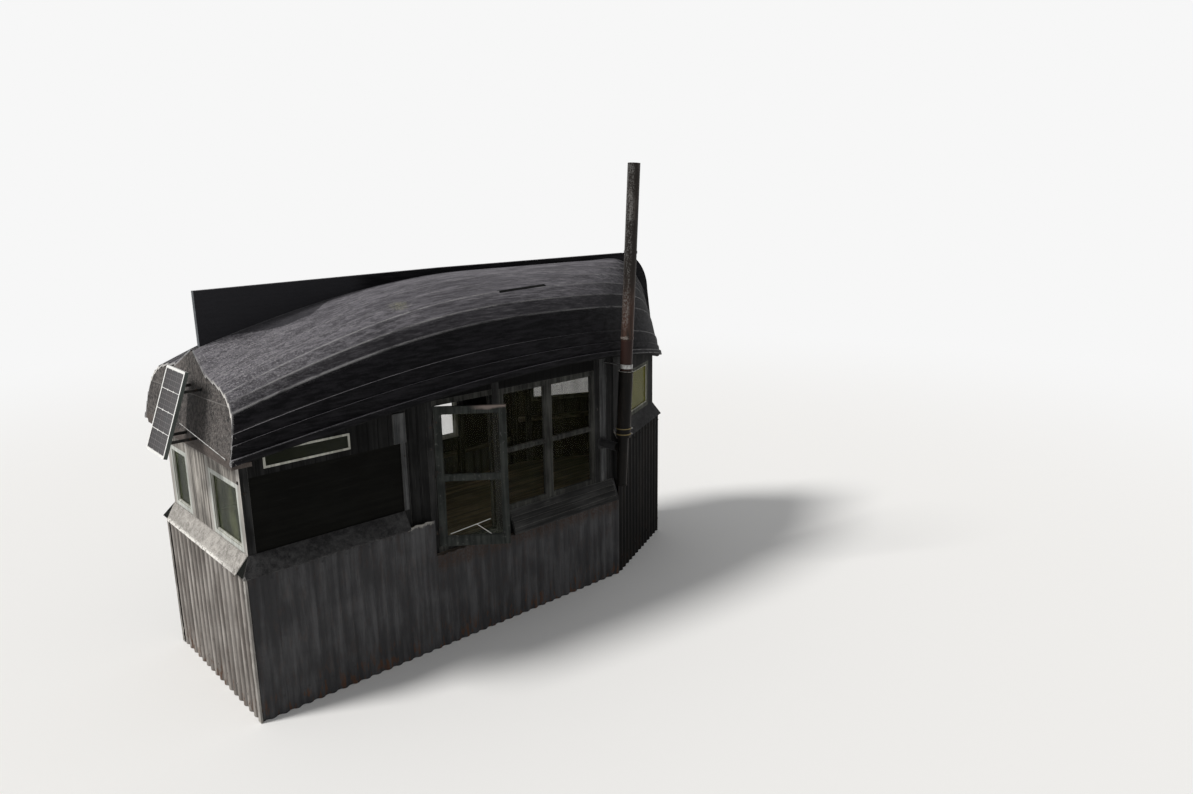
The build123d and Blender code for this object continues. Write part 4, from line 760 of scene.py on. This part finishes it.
def door_paint():
    paint = Paint("door_paint", Specular_IOR_Level=0.12)
    grain = paint.noise(15, (2, 2, 0.12), detail=7, roughness=0.62)
    patches = paint.noise(5, detail=6)
    tone = paint.band(grain + sway(patches, 0.5), 0.35, 0.7)
    paint.colour = paint.mix(tone, rgb(0.011, 0.013, 0.012), rgb(0.04, 0.044, 0.04))
    knocked = paint.band(paint.z + sway(patches, 0.08), 2.715, 2.745)
    knocked = knocked * paint.band(paint.x, -0.55, -0.4)
    paint.coat(knocked * 0.75, rgb(0.26, 0.21, 0.19))
    paint.coat(paint.worn_edges(0.005) * 0.22, rgb(0.2, 0.19, 0.17))
    chips = paint.band(paint.noise(30, detail=6), 0.62, 0.68)
    paint.coat(chips * 0.35, rgb(0.17, 0.17, 0.16))
    paint.finish(0.5 + grain * 0.2, grain * 0.6 - chips * 0.5, 0.0016)


door_paint()

# %% [markdown]
# ## Dressing the solids
# Each solid takes the finish of its record slot, except those that look different from the rest
# of their slot.

# %% Dressing the solids
OWN_FINISH = {
    "transom": "transom_paint",
    "skirt_boards": "skirt_felt",
    "floor_deck": "floor_boards",
    "wall_posts": "post_timber",
    "front_boards": "front_board",
    "rear_boards": "front_board",
    "stern_boards": "stern_board",
    "bow_boards": "bow_board",
    "bow_windows": "bow_joinery",
    "eaves_plates": "eaves_timber",
    "stern_tie": "transom_paint",
    "eaves_block": "loose_board",
    "solar_panel": "solar_frame",
    "door_leaf": "door_paint",
    "door_glass": "door_pane",
    "bow_peg": "dark_iron",
    "hinge_knuckles": "dark_iron",
    "hinge_pins": "dark_iron",
    "solar_brackets": "dark_iron",
}
slots = {entry["node"]: entry["material_slot"] for entry in frame["record"]["subparts"]}
for name, solid in nodes.items():
    for material_slot in solid.material_slots:
        material_slot.material = finishes[OWN_FINISH.get(name, slots[name])]
print("dressed", len(nodes), "solids")

# %% [markdown]
# ## Starting a piece
# Pieces are modelled as by hand: a primitive goes in at its size, is shaped in edit mode, and is
# then settled. Operators act on everything selected, so a helper first picks what it needs.

# %% Starting a piece


def select_only(*pieces):
    """Select these pieces alone and make the first one active."""
    bpy.ops.object.select_all(action="DESELECT")
    for piece in pieces:
        piece.select_set(True)
    if pieces:
        bpy.context.view_layer.objects.active = pieces[0]


def apply_place():
    """Put the place, turn and scale of the active piece into its mesh."""
    bpy.ops.object.transform_apply(location=True, rotation=True, scale=True)
    return bpy.context.object


def start_box(name, low, high):
    """Add a cube that fills a box."""
    select_only()
    size = [b - a for a, b in zip(low, high)]
    middle = [(a + b) / 2 for a, b in zip(low, high)]
    bpy.ops.mesh.primitive_cube_add(size=1, location=middle, scale=size)
    bpy.context.object.name = name
    return apply_place()


def start_disc(name, radius, thickness, sides):
    """Add a cylinder that stands on the XY plane."""
    select_only()
    bpy.ops.mesh.primitive_cylinder_add(
        vertices=sides, radius=radius, depth=thickness, location=(0, 0, thickness / 2)
    )
    bpy.context.object.name = name
    return apply_place()


def on_wall(point, outward, up=(0, 0, 1)):
    """A place whose local X runs along a wall, Y up it and Z out of it."""
    out = Vector(outward).normalized()
    rise = (Vector(up) - out * out.dot(Vector(up))).normalized()
    axes = Matrix((rise.cross(out), rise, out)).transposed().to_4x4()
    return Matrix.Translation(point) @ axes


FRONT, REAR, STERN, BOW = (0, -1, 0), (0, 1, 0), (-1, 0, 0), (1, 0, 0)
LIFT = 0.0005
print("pieces lie", LIFT, "m off their solid")

# %% [markdown]
# ## Shaping a piece
# In edit mode a tool works on what is selected, so faces and edges are picked by a test on where
# they lie. The few moves that come back again and again, such as rounding the picked edges or
# opening a plate into a ring, get a helper each.

# %% Shaping a piece


def pick(piece, kind, test):
    """Open a piece with only the faces (centre, normal) or edges (start, end) that pass a test."""
    bpy.context.view_layer.objects.active = piece
    bpy.ops.object.mode_set(mode="EDIT")
    bpy.ops.mesh.select_mode(type=kind)
    bpy.ops.mesh.select_all(action="DESELECT")
    bpy.ops.object.mode_set(mode="OBJECT")
    if kind == "FACE":
        for face in piece.data.polygons:
            face.select = test(face.center, face.normal)
    else:
        corners = piece.data.vertices
        for edge in piece.data.edges:
            edge.select = test(*[corners[i].co for i in edge.vertices])
    bpy.ops.object.mode_set(mode="EDIT")


def close_up():
    bpy.ops.object.mode_set(mode="OBJECT")


def push(*move):
    """Extrude the picked faces by a move."""
    bpy.ops.mesh.extrude_region_move(TRANSFORM_OT_translate={"value": move})


def round_edges(piece, width, test, segments=2):
    """Bevel the edges that pass a test, and leave edit mode."""
    pick(piece, "EDGE", test)
    bpy.ops.mesh.bevel(offset=width, segments=segments)
    close_up()


def flat_end(centre, normal):
    """A test for the top and bottom of a flat piece in the XY plane."""
    return abs(normal.z) > 0.9


def open_middle(piece, bar):
    """Make a ring: both flat faces are inset and the insets bridged."""
    pick(piece, "FACE", flat_end)
    bpy.ops.mesh.inset(thickness=bar, use_individual=True)
    bpy.ops.mesh.bridge_edge_loops()


print("shaping helpers ready")

# %% [markdown]
# ## Copying and settling a piece
# Copies get a mesh each, so that they can be joined. Settling puts a piece's place into its mesh,
# gives it a finish, and lets it ride on its body.

# %% Copying and settling a piece


def twin(piece, place):
    """A copy with its own mesh, at a place."""
    copy = piece.copy()
    copy.data = piece.data.copy()
    bpy.context.scene.collection.objects.link(copy)
    copy.matrix_world = place
    return copy


def join(pieces, name):
    select_only(*pieces)
    bpy.ops.object.join()
    bpy.context.object.name = name
    return bpy.context.object


def spread(piece, name, places):
    """Copy a shape to each place and join the copies."""
    copies = [twin(piece, place) for place in places]
    bpy.data.objects.remove(piece)
    return join(copies, name)


def settle(piece, finish, body="shed"):
    select_only(piece)
    apply_place()
    bpy.ops.object.shade_smooth_by_angle(angle=radians(35))
    piece.data.materials.clear()
    piece.data.materials.append(finishes[finish])
    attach(piece, body)
    print(piece.name, len(piece.data.polygons), "faces")


print("settling helpers ready")

# %% [markdown]
# ## Roofing screws
# Corrugated sheet is held by screws through the crests, each with a dished washer. One is modelled
# from a ten-sided disc by insets and an extrusion, and is copied along the rails: a row near the
# foot of each run of sheet and one near its head. The pitch of the waves gives their number in a
# run, and every second crest has a screw.

# %% Roofing screws
SCREW_RADIUS, SCREW_SIDES = 0.011, 10
SHEET_PITCH, SHEET_GAP = 0.127, 0.0005
SHEET_END, DOOR_START, DOOR_END = -2.9715, -0.93, -0.06
BOW_SHEET, BOW_SHEET_SIDE, FACET_SHEET = 0.7845, 0.3922, 1.632
FOOT_ROW, HEAD_ROW, DOOR_ROW, LIGHTS_ROW, BOW_ROW = 0.19, 1.45, 1.025, 0.97, 1.725

screw = start_disc("screw", SCREW_RADIUS, 0.002, SCREW_SIDES)
pick(screw, "FACE", lambda centre, normal: normal.z > 0.9)
bpy.ops.mesh.inset(thickness=0.002, depth=0.0015)
bpy.ops.mesh.inset(thickness=0.004)
push(0, 0, 0.004)
bpy.ops.mesh.inset(thickness=0.0015, depth=0.0008)
close_up()

door_sheet = DOOR_END - DOOR_START - SHEET_GAP
lights_sheet = CORNER_X - DOOR_END - SHEET_GAP
sheet_runs = [
    ((DOOR_START, -HALF_WIDTH), (-1, 0), FRONT, DOOR_START - SHEET_END, HEAD_ROW),
    ((DOOR_END, -HALF_WIDTH), (-1, 0), FRONT, door_sheet, DOOR_ROW),
    ((CORNER_X, -HALF_WIDTH), (-1, 0), FRONT, lights_sheet, LIGHTS_ROW),
    ((SHEET_END, HALF_WIDTH), (1, 0), REAR, CORNER_X - SHEET_END, HEAD_ROW),
    ((STERN_X, -HALF_WIDTH), (0, 1), STERN, 2 * HALF_WIDTH, HEAD_ROW),
    ((BOW_X, BOW_SHEET_SIDE), (0, -1), BOW, BOW_SHEET, BOW_ROW),
]
for side in (-1, 1):
    outward, along = facet(side)
    corner = (BOW_X, side * NOSE_Y)
    sheet_runs.append((corner, (-along.x, -along.y), outward, FACET_SHEET, BOW_ROW))
screw_places = []
for (x, y), (step_x, step_y), outward, length, head_row in sheet_runs:
    waves = round(length / SHEET_PITCH)
    for wave in range(0, waves, 2):
        run = (wave + 0.25) * length / waves
        for z in (FOOT_ROW, head_row):
            screw_places.append(on_wall((x + step_x * run, y + step_y * run, z), outward))
settle(spread(screw, "roofing_screws", screw_places), "grey_sheet")

# %% [markdown]
# ## A bead round a pane
# Each pane is held by a thin bead all round, a little out from the glass. It could be four sticks,
# but a ring with no joints is simpler: a flat box is inset on both faces, and bridging the insets
# opens its middle.

# %% A bead round a pane
BEAD, BEAD_DEPTH, BEAD_IN = 0.014, 0.016, 0.025 - LIFT
WINDOW_FRAME = 0.045


def ring(name, width, height, depth, bar, round_by):
    """A flat rectangular ring in the XY plane, its outer front edges rounded."""
    piece = start_box(name, (-width / 2, -height / 2, 0), (width / 2, height / 2, depth))
    open_middle(piece, bar)
    round_edges(piece, round_by, lambda start, end: min(start.z, end.z) > depth * 0.9)
    return piece


def bead(middle, outward, width, height):
    piece = ring("bead", width, height, BEAD_DEPTH, BEAD, 0.004)
    inward = Vector(outward).normalized() * BEAD_IN
    piece.matrix_world = on_wall(Vector(middle) - inward, outward)
    return piece


def window_bead(middle, outward, width, height):
    """A bead inside a window frame of an overall size."""
    return bead(middle, outward, width - 2 * WINDOW_FRAME, height - 2 * WINDOW_FRAME)


print("bead helpers ready")

# %% [markdown]
# ## Beads in the lights
# The pair of tall lights beside the door has four panes, two over two, parted by a cross rail.

# %% Beads in the lights
STILE = 0.055
LIGHTS = (0.04, 0.755), (0.755, 1.51)
LIGHT_FOOT, RAIL_FOOT, RAIL_HEAD, LIGHT_HEAD = 1.33, 2.045, 2.085, 2.81

light_beads = []
for start, end in LIGHTS:
    for foot, head in ((LIGHT_FOOT + STILE, RAIL_FOOT), (RAIL_HEAD, LIGHT_HEAD - STILE)):
        middle = ((start + end) / 2, -FACE, (foot + head) / 2)
        light_beads.append(bead(middle, FRONT, end - start - 2 * STILE, head - foot))
settle(join(light_beads, "light_beads"), "joinery")

# %% [markdown]
# ## Beads in the stern, rear and bow windows
# These windows are low and wide. Those of the stern and the rear share one height, and each bow
# window lies on its facet, so its place is measured from the facet's corner.

# %% Beads in the stern, rear and bow windows
STERN_SPANS, REAR_SPANS = ((-0.951, -0.2), (0.45, 0.951)), ((-1.62, -0.4), (-0.32, 0.79))
BOW_START, BOW_END = 0.21, 1.385
WINDOW_Z, WINDOW_HEIGHT, BOW_WINDOW_Z, BOW_WINDOW_HEIGHT = 2.04, 0.68, 2.32, 0.64
BOARD_THICK = 0.08

stern_beads, rear_beads, bow_beads = [], [], []
for start, end in STERN_SPANS:
    middle = (STERN_FACE, (start + end) / 2, WINDOW_Z)
    stern_beads.append(window_bead(middle, STERN, end - start, WINDOW_HEIGHT))
for start, end in REAR_SPANS:
    middle = ((start + end) / 2, FACE, WINDOW_Z)
    rear_beads.append(window_bead(middle, REAR, end - start, WINDOW_HEIGHT))
for side in (-1, 1):
    outward, along = facet(side)
    corner = Vector((CORNER_X - BOARD_THICK * tan(BOW_ANGLE / 2), side * FACE, BOW_WINDOW_Z))
    middle = corner + along * (BOW_START + BOW_END) / 2
    bow_beads.append(window_bead(middle, outward, BOW_END - BOW_START, BOW_WINDOW_HEIGHT))
for name, rings in (("stern", stern_beads), ("rear", rear_beads), ("bow", bow_beads)):
    settle(join(rings, name + "_beads"), "pale_joinery")

# %% [markdown]
# ## A sheet of felt
# The felt on the skirt boards ends in a thick, rounded lip that hangs past the board and catches
# the light. A box laid on the slope gets a lip turned down by two extrusions, is divided along its
# length, and its lip is moved a little at random. Its ends are then cut with bisect, and its edges
# are rounded by a modifier that is applied.

# %% A sheet of felt
SLOPE_OUT, SLOPE_DROP = 0.1095, 0.16
slope = hypot(SLOPE_OUT, SLOPE_DROP)
FELT, FELT_PIECE = 0.006, 0.09


def felt_sheet(name, length, place, lip):
    """A sheet in its own frame: X along, Y up the slope from the board's foot, Z out."""
    piece = start_box(name, (-length / 2, -0.006, LIFT), (length / 2, slope - 0.004, FELT))
    pick(piece, "FACE", lambda centre, normal: normal.y < -0.9)
    push(0, -0.012, -0.004)
    push(0, -0.006, -lip)
    pick(piece, "EDGE", lambda start, end: abs(start.x - end.x) > length / 2)
    bpy.ops.mesh.subdivide(number_cuts=int(length / FELT_PIECE))
    pick(piece, "FACE", lambda centre, normal: centre.y < 0 and abs(normal.x) < 0.5)
    bpy.ops.transform.vertex_random(offset=0.0022, seed=7)
    close_up()
    piece.matrix_world = place
    select_only(piece)
    return apply_place()


def saw_off(piece, point, normal):
    """Cut away what lies beyond a plane and close the cut."""
    pick(piece, "FACE", lambda *face: True)
    bpy.ops.mesh.bisect(plane_co=point, plane_no=normal, clear_outer=True, use_fill=True)
    close_up()


def soften(piece, width):
    """Round all sharp edges."""
    select_only(piece)
    rounding = piece.modifiers.new("rounding", "BEVEL")
    rounding.width = width
    rounding.segments = 2
    rounding.limit_method = "ANGLE"
    rounding.angle_limit = radians(40)
    bpy.ops.object.modifier_apply(modifier=rounding.name)


print("felt slope:", round(slope, 3))

# %% [markdown]
# ## Felt laid over the stern and front skirts
# The front felt is cut just short of the mitre and where its board ends. The stern felt is cut
# well inside the mitre, on a lean, so that a wedge of board shows at the corner, painted near-black
# as painted shade in the hollow there.

# %% Felt laid over the stern and front skirts
MITRE_GAP, FELT_ROUND = 0.009, 0.0025
FRONT_FELT_END = -1.252
stern_foot, front_foot = STERN_X - SKIRT_OUT, -HALF_WIDTH - SKIRT_OUT

stern_rise = (SLOPE_OUT, 0, SLOPE_DROP)
stern_place = on_wall((stern_foot, 0, SKIRT_FOOT), (-SLOPE_DROP, 0, SLOPE_OUT), stern_rise)
stern_felt = felt_sheet("stern_felt", 2.12, stern_place, 0.02)
for side in (-1, 1):
    felt_corner = (stern_foot, side * FELT_END, SKIRT_FOOT)
    saw_off(stern_felt, felt_corner, (-FELT_LEAN * SLOPE_DROP, side * SLOPE_OUT, 0))
front_rise = (0, SLOPE_OUT, SLOPE_DROP)
front_place = on_wall((-2.1, front_foot, SKIRT_FOOT), (0, -SLOPE_DROP, SLOPE_OUT), front_rise)
front_felt = felt_sheet("front_felt", 2.0, front_place, 0.012)
saw_off(front_felt, (stern_foot + MITRE_GAP, front_foot, SKIRT_FOOT), (-1, 1, 0))
saw_off(front_felt, (FRONT_FELT_END, 0, 0), (1, 0, 0))
for piece in (stern_felt, front_felt):
    soften(piece, FELT_ROUND)
    settle(piece, "skirt_felt")

# %% [markdown]
# ## Corner trims
# A folded strip of thin metal covers each stern corner of the corrugated sheets. Its free edge is
# bent and ragged: the box is extruded round the corner, cut up along its height, and the edge is
# moved at random.

# %% Corner trims
TRIM_OUT = HALF_WIDTH + 0.002
TRIM_WIDTH, TRIM_FOOT, TRIM_HEAD = 0.05, 0.004, 1.5


def corner_trim(side):
    """The folded strip on one stern corner: side -1 is the front one."""
    low, high = sorted((side * TRIM_OUT, side * (TRIM_OUT - TRIM_WIDTH)))
    trim = start_box("trim", (STERN_X - 0.0045, low, TRIM_FOOT), (STERN_X - 0.002, high, TRIM_HEAD))
    pick(trim, "FACE", lambda centre, normal: normal.y * side > 0.9)
    push(0, side * 0.0025, 0)
    pick(trim, "FACE", lambda centre, normal: normal.x > 0.9 and centre.y * side > TRIM_OUT)
    push(0.02, 0, 0)
    pick(trim, "EDGE", lambda start, end: abs(start.z - end.z) > 1)
    bpy.ops.mesh.subdivide(number_cuts=26)
    ragged = HALF_WIDTH - 0.04
    pick(trim, "EDGE", lambda start, end: max(start.y * side, end.y * side) < ragged)
    bpy.ops.transform.vertex_random(offset=0.006, seed=3)
    close_up()
    return trim


settle(join([corner_trim(-1), corner_trim(1)], "corner_trims"), "corner_trim")

# %% [markdown]
# ## Ledge boards under the lights
# Under the pair of tall lights four feather-edged boards lie one over the other on the sloping
# sill. One box, thinned at its top edge and rounded, is copied up the slope.

# %% Ledge boards under the lights
LEDGE_RISE = Vector((0, 0.1095, 0.2745))
LEDGE_START, LEDGE_END, LEDGE_FOOT = 0.135, 1.79, 1.055
LEDGE_WIDTH, LEDGE_THICK, LEDGE_PITCH, LEDGE_COUNT = 0.084, 0.016, 0.07, 4

board = start_box("board", (LEDGE_START, 0, 0), (LEDGE_END, LEDGE_WIDTH, LEDGE_THICK))
pick(board, "EDGE", lambda start, end: min(start.y, end.y) > 0.08 and min(start.z, end.z) > 0.01)
bpy.ops.transform.translate(value=(0, 0, -0.01))
round_edges(board, 0.004, lambda a, b: max(a.y, b.y) < 0.01 and min(a.z, b.z) > 0.01)
ledge = on_wall((0, front_foot, LEDGE_FOOT), (0, -LEDGE_RISE.z, LEDGE_RISE.y), LEDGE_RISE)
steps = [0.002 + LEDGE_PITCH * i for i in range(LEDGE_COUNT)]
ledge_places = [ledge @ Matrix.Translation((0, step, 0.0008)) for step in steps]
settle(spread(board, "ledge_boards", ledge_places), "ledge_board")

# %% [markdown]
# ## Upright boards
# The solids give each wall its flat boarding. The boards that stand out are added in front, each
# a thin box with rounded edges, a few millimetres from its neighbour, so that real gaps show
# between them.

# %% Upright boards
THIN_BOARD, BOARD_GAP, UNDER_EAVES = 0.006, 0.005, 0.004


def upright_boards(name, finish, runs, place):
    """Thin boards side by side: runs hold start, end, foot and head along a wall."""
    rows = []
    for start, end, foot, head in runs:
        low = (start + BOARD_GAP / 2, foot, LIFT)
        piece = start_box("board", low, (end - BOARD_GAP / 2, head, LIFT + THIN_BOARD))
        round_edges(piece, 0.0018, lambda a, b: min(a.z, b.z) > THIN_BOARD * 0.9)
        piece.matrix_world = place
        rows.append(piece)
    settle(join(rows, name), finish)


def even(start, end, count, foot, head):
    """Boards of one width between two places, each cut to the head where it stands."""
    width = (end - start) / count
    borders = [start + i * width for i in range(count + 1)]
    return [(a, b, foot, head(a, b)) for a, b in zip(borders, borders[1:])]


def under_eaves(a, b):
    return min(eaves_foot(a), eaves_foot(b)) - UNDER_EAVES


def under_rear_eaves(a, b):
    """The same for the rear wall, whose boards are measured the other way."""
    return under_eaves(-a, -b)


print("board gap:", BOARD_GAP)

# %% [markdown]
# ## Boards that stand out
# Two stand at the left of the door, one beside the flue, and a strip covers the edge of the dark
# panel. The rear wall has boards beyond its windows, and the stern wall between them.

# %% Boards that stand out
BOARD_FOOT, PANEL_HEAD, STERN_HEAD = 1.705, 2.447, 2.558

front_face = on_wall((0, -FACE, 0), FRONT)
by_door = even(-1.165, -0.935, count=2, foot=1.49, head=under_eaves)
upright_boards("front_upright_boards", "front_board", by_door, front_face)
by_flue = even(1.595, 1.705, count=1, foot=1.335, head=under_eaves)
upright_boards("flue_side_board", "loose_board", by_flue, front_face)
by_panel = even(-1.25, -1.19, count=1, foot=1.7, head=lambda a, b: PANEL_HEAD)
upright_boards("panel_cover_strip", "loose_board", by_panel, front_face)
rear_face = on_wall((0, FACE, 0), REAR)
rear_runs = even(1.705, 2.835, count=9, foot=BOARD_FOOT, head=under_rear_eaves)
rear_runs += even(-1.705, -0.875, count=6, foot=BOARD_FOOT, head=under_rear_eaves)
upright_boards("rear_upright_boards", "front_board", rear_runs, rear_face)
stern_face = on_wall((STERN_FACE, 0, 0), STERN)
stern_runs = even(-0.366, 0.116, count=4, foot=BOARD_FOOT, head=lambda a, b: STERN_HEAD)
upright_boards("stern_upright_boards", "stern_board", stern_runs, stern_face)

# %% [markdown]
# ## The solar face
# The solid leaves a shallow recess in the panel's frame. A plane with its own UV map fills it, and
# an inset and a small step down give the pale margin round the cells.

# %% The solar face
SOLAR_TOP = Vector((-3.1, -0.21, 3.4))
SOLAR_WIDTH, SOLAR_HEIGHT, TOP_TO_MIDDLE = 0.474, 0.784, 0.415

downward = Vector((-sin(SOLAR_TILT), 0, -cos(SOLAR_TILT)))
select_only()
bpy.ops.mesh.primitive_plane_add(size=1)
solar_face = bpy.context.object
solar_face.name = "solar_face"
solar_face.scale = (SOLAR_WIDTH, SOLAR_HEIGHT, 1)
apply_place()
pick(solar_face, "FACE", flat_end)
bpy.ops.mesh.inset(thickness=0.006, depth=-0.0008)
close_up()
solar_middle = SOLAR_TOP + downward * TOP_TO_MIDDLE
solar_face.matrix_world = on_wall(solar_middle - SOLAR_OUT * 0.0018, SOLAR_OUT, -downward)
settle(solar_face, "solar_cells")

# %% [markdown]
# ## Flue joints
# Each length of pipe slides into the next, under a rolled ring. A disc is inset on both ends,
# bridged into a ring, and bevelled round.

# %% Flue joints
FLUE_LEAN = radians(3.5)
FLUE_X, FLUE_Y, FLUE_Z = 1.65, -1.41, 2.09
flue_axis = Vector((sin(FLUE_LEAN), 0, cos(FLUE_LEAN)))


def up_the_flue(z):
    """The place on the flue's axis at a height, Z along the flue."""
    point = Vector((FLUE_X + (z - FLUE_Z) * tan(FLUE_LEAN), FLUE_Y, z))
    return Matrix.Translation(point) @ flue_axis.to_track_quat("Z", "Y").to_matrix().to_4x4()


def pipe_ring(name, outer, inner, height, sides=48):
    """A rolled ring round a pipe."""

    def outer_rim(start, end):
        level_edge = abs(start.z - end.z) < 1e-5
        return level_edge and min(start.xy.length, end.xy.length) > outer * 0.99

    piece = start_disc(name, outer, height, sides)
    open_middle(piece, outer - inner)
    round_edges(piece, 0.003, outer_rim, segments=3)
    return piece


joints = []
for z in JOINT_HEIGHTS:
    joint = pipe_ring("joint", 0.081, 0.0755, 0.034)
    joint.matrix_world = up_the_flue(z)
    joints.append(joint)
settle(join(joints, "flue_joints"), "flue_iron")

# %% [markdown]
# ## Clamp bolts
# Two clamps on the sleeve end in a pair of lugs, drawn together by a bolt. A lug is a small box
# with one end rounded, and the bolt a six-sided rod. Both are copied to the two clamps.

# %% Clamp bolts
CLAMP_TURN = Matrix.Rotation(radians(-35), 4, "Z")
LUG_OUT, BOLT_OUT, BOLT_LENGTH = 0.0955, 0.107, 0.03

lug = start_box("lug", (-0.004, -0.018, -0.009), (0.004, 0, 0.009))
round_edges(lug, 0.005, lambda a, b: max(a.y, b.y) < -0.01 and abs(a.x - b.x) > 0.005)
bolt = start_disc("bolt", 0.006, BOLT_LENGTH, 6)
pick(bolt, "FACE", flat_end)
bpy.ops.mesh.inset(thickness=0.001, depth=0.001, use_individual=True)
close_up()
lie_down = Matrix.Rotation(pi / 2, 4, "Y")
clamp_parts = []
for z in CLAMP_HEIGHTS:
    clamp = up_the_flue(z) @ CLAMP_TURN
    for shift in (-0.008, 0.008):
        clamp_parts.append(twin(lug, clamp @ Matrix.Translation((shift, -LUG_OUT, 0))))
    bolt_place = clamp @ Matrix.Translation((-BOLT_LENGTH / 2, -BOLT_OUT, 0)) @ lie_down
    clamp_parts.append(twin(bolt, bolt_place))
bpy.data.objects.remove(lug)
bpy.data.objects.remove(bolt)
settle(join(clamp_parts, "clamp_bolts"), "steel_fittings")

# %% [markdown]
# ## Cracks in the door's lower pane
# The lower pane is cracked from side to side. Each crack is a hair-thin raised strip on the glass,
# bevelled to a ridge and painted near-white as a painted glint, the way a broken edge catches the
# light. It rides on the door.

# %% Cracks in the door's lower pane
HINGE, DOOR_OPEN = Vector((-0.847, -1.039, 0)), radians(-38)
GLASS_DEPTH = -0.025
CRACK_HALF, CRACK_LIFT, CRACK_HEIGHT = 0.0034, 0.0002, 0.0022
LEFT_END, CENTRE, RIGHT_END = (0.122, 1.304), (0.414, 1.408), (0.568, 1.465)
LOWER, LOWER_END = (0.577, 1.283), (0.696, 1.277)

leaf_along = Vector((cos(DOOR_OPEN), sin(DOOR_OPEN), 0))
leaf_face = on_wall(HINGE, (leaf_along.y, -leaf_along.x, 0))
cracks = []
for start, end in ((LEFT_END, CENTRE), (CENTRE, RIGHT_END), (CENTRE, LOWER), (LOWER, LOWER_END)):
    run = Vector((end[0] - start[0], end[1] - start[1], 0))
    low, high = (0, -CRACK_HALF, CRACK_LIFT), (run.length, CRACK_HALF, CRACK_HEIGHT)
    crack = start_box("crack", low, high)
    round_edges(crack, 0.0018, lambda a, b: min(a.z, b.z) > 0.002 and abs(a.x - b.x) > 0.01, 1)
    level_turn = Vector((1, 0, 0)).rotation_difference(run).to_matrix().to_4x4()
    crack.matrix_world = leaf_face @ Matrix.Translation((*start, GLASS_DEPTH)) @ level_turn
    cracks.append(crack)
settle(join(cracks, "pane_cracks"), "crack_glint", "door")

# %% [markdown]
# ## Beads on the door
# The leaf's two panes get the same kind of bead as the windows, set in the leaf's own turned
# frame. A strip on the hinge side of the door frame closes the gap behind the leaf and stays with
# the shed.

# %% Beads on the door
LEAF_MIDDLE, LEAF_PANE_WIDTH, LEAF_BEAD = 0.395, 0.634, 0.012
LEAF_PANES = (1.276, 1.93), (1.99, 2.685)
STOP_X, STOP_Y, STOP_Z = (-0.8345, -0.798), (-0.983, -0.971), (1.165, 2.76)

door_beads = []
for foot, head in LEAF_PANES:
    piece = ring("bead", LEAF_PANE_WIDTH, head - foot, LEAF_BEAD, LEAF_BEAD, 0.003)
    middle = (LEAF_MIDDLE, (foot + head) / 2, -BEAD_IN)
    piece.matrix_world = leaf_face @ Matrix.Translation(middle)
    door_beads.append(piece)
settle(join(door_beads, "door_beads"), "door_paint", "door")
stop_strip = start_box("door_stop_strip", *zip(STOP_X, STOP_Y, STOP_Z))
round_edges(stop_strip, 0.004, lambda a, b: min(a.x, b.x) > -0.8 and abs(a.z - b.z) > 1)
settle(stop_strip, "joinery")

# %% [markdown]
# ## Bolt heads
# Coach bolts tie the stern corner posts and the front frames. A domed head on a square washer is
# enough: a box for the washer, whose middle is inset, pushed out and rounded.

# %% Bolt heads
WASHER_HALF, WASHER_THICK, BOLT_RISE = 0.016, 0.003, 0.0003
head = start_box("head", (-WASHER_HALF, -WASHER_HALF, 0), (WASHER_HALF, WASHER_HALF, WASHER_THICK))
pick(head, "FACE", lambda centre, normal: normal.z > 0.9)
bpy.ops.mesh.inset(thickness=0.006)
push(0, 0, 0.006)
bpy.ops.mesh.bevel(offset=0.003, segments=2)
close_up()
head_places = [on_wall((STERN_FACE - BOLT_RISE, side * 0.975, 2.4), STERN) for side in (-1, 1)]
for x in (-2.88, -1.21, -0.89, 1.55):
    head_places.append(on_wall((x, -FACE - BOLT_RISE, 2.3), FRONT))
settle(spread(head, "coach_bolts", head_places), "dark_iron")

# %% [markdown]
# ## The studio floor
# One large pale plate takes the shed's shadow. Far from the shed it fades into the white of the
# world, so that no horizon shows. It belongs to the stage, not to the object.

# %% The studio floor
FLOOR_SIZE, FLOOR_Z = 400, -0.002
FADE_START, FADE_END = 7, 22

select_only()
bpy.ops.mesh.primitive_plane_add(size=FLOOR_SIZE, location=(0, 0, FLOOR_Z))
floor = bpy.context.object
floor.name = "studio_floor"
ground = Paint("studio_floor", Roughness=0.9, Specular_IOR_Level=0.1)
ground.feed(ground.shader.inputs["Base Color"], rgb(0.9, 0.9, 0.895))
away = ground.measure("LENGTH", ground.place)
glow = ground.make("Emission", {"Color": grey(1), "Strength": WHITE})
far = ground.band(away, FADE_START, FADE_END) * ground.seen_rays()
surface = ground.make("MixShader", {0: far, 1: Value(ground, ground.shader.outputs[0]), 2: glow})
ground.feed(ground.tree.nodes["Material Output"].inputs["Surface"], surface)
floor.data.materials.append(ground.material)
print("floor", floor.name)
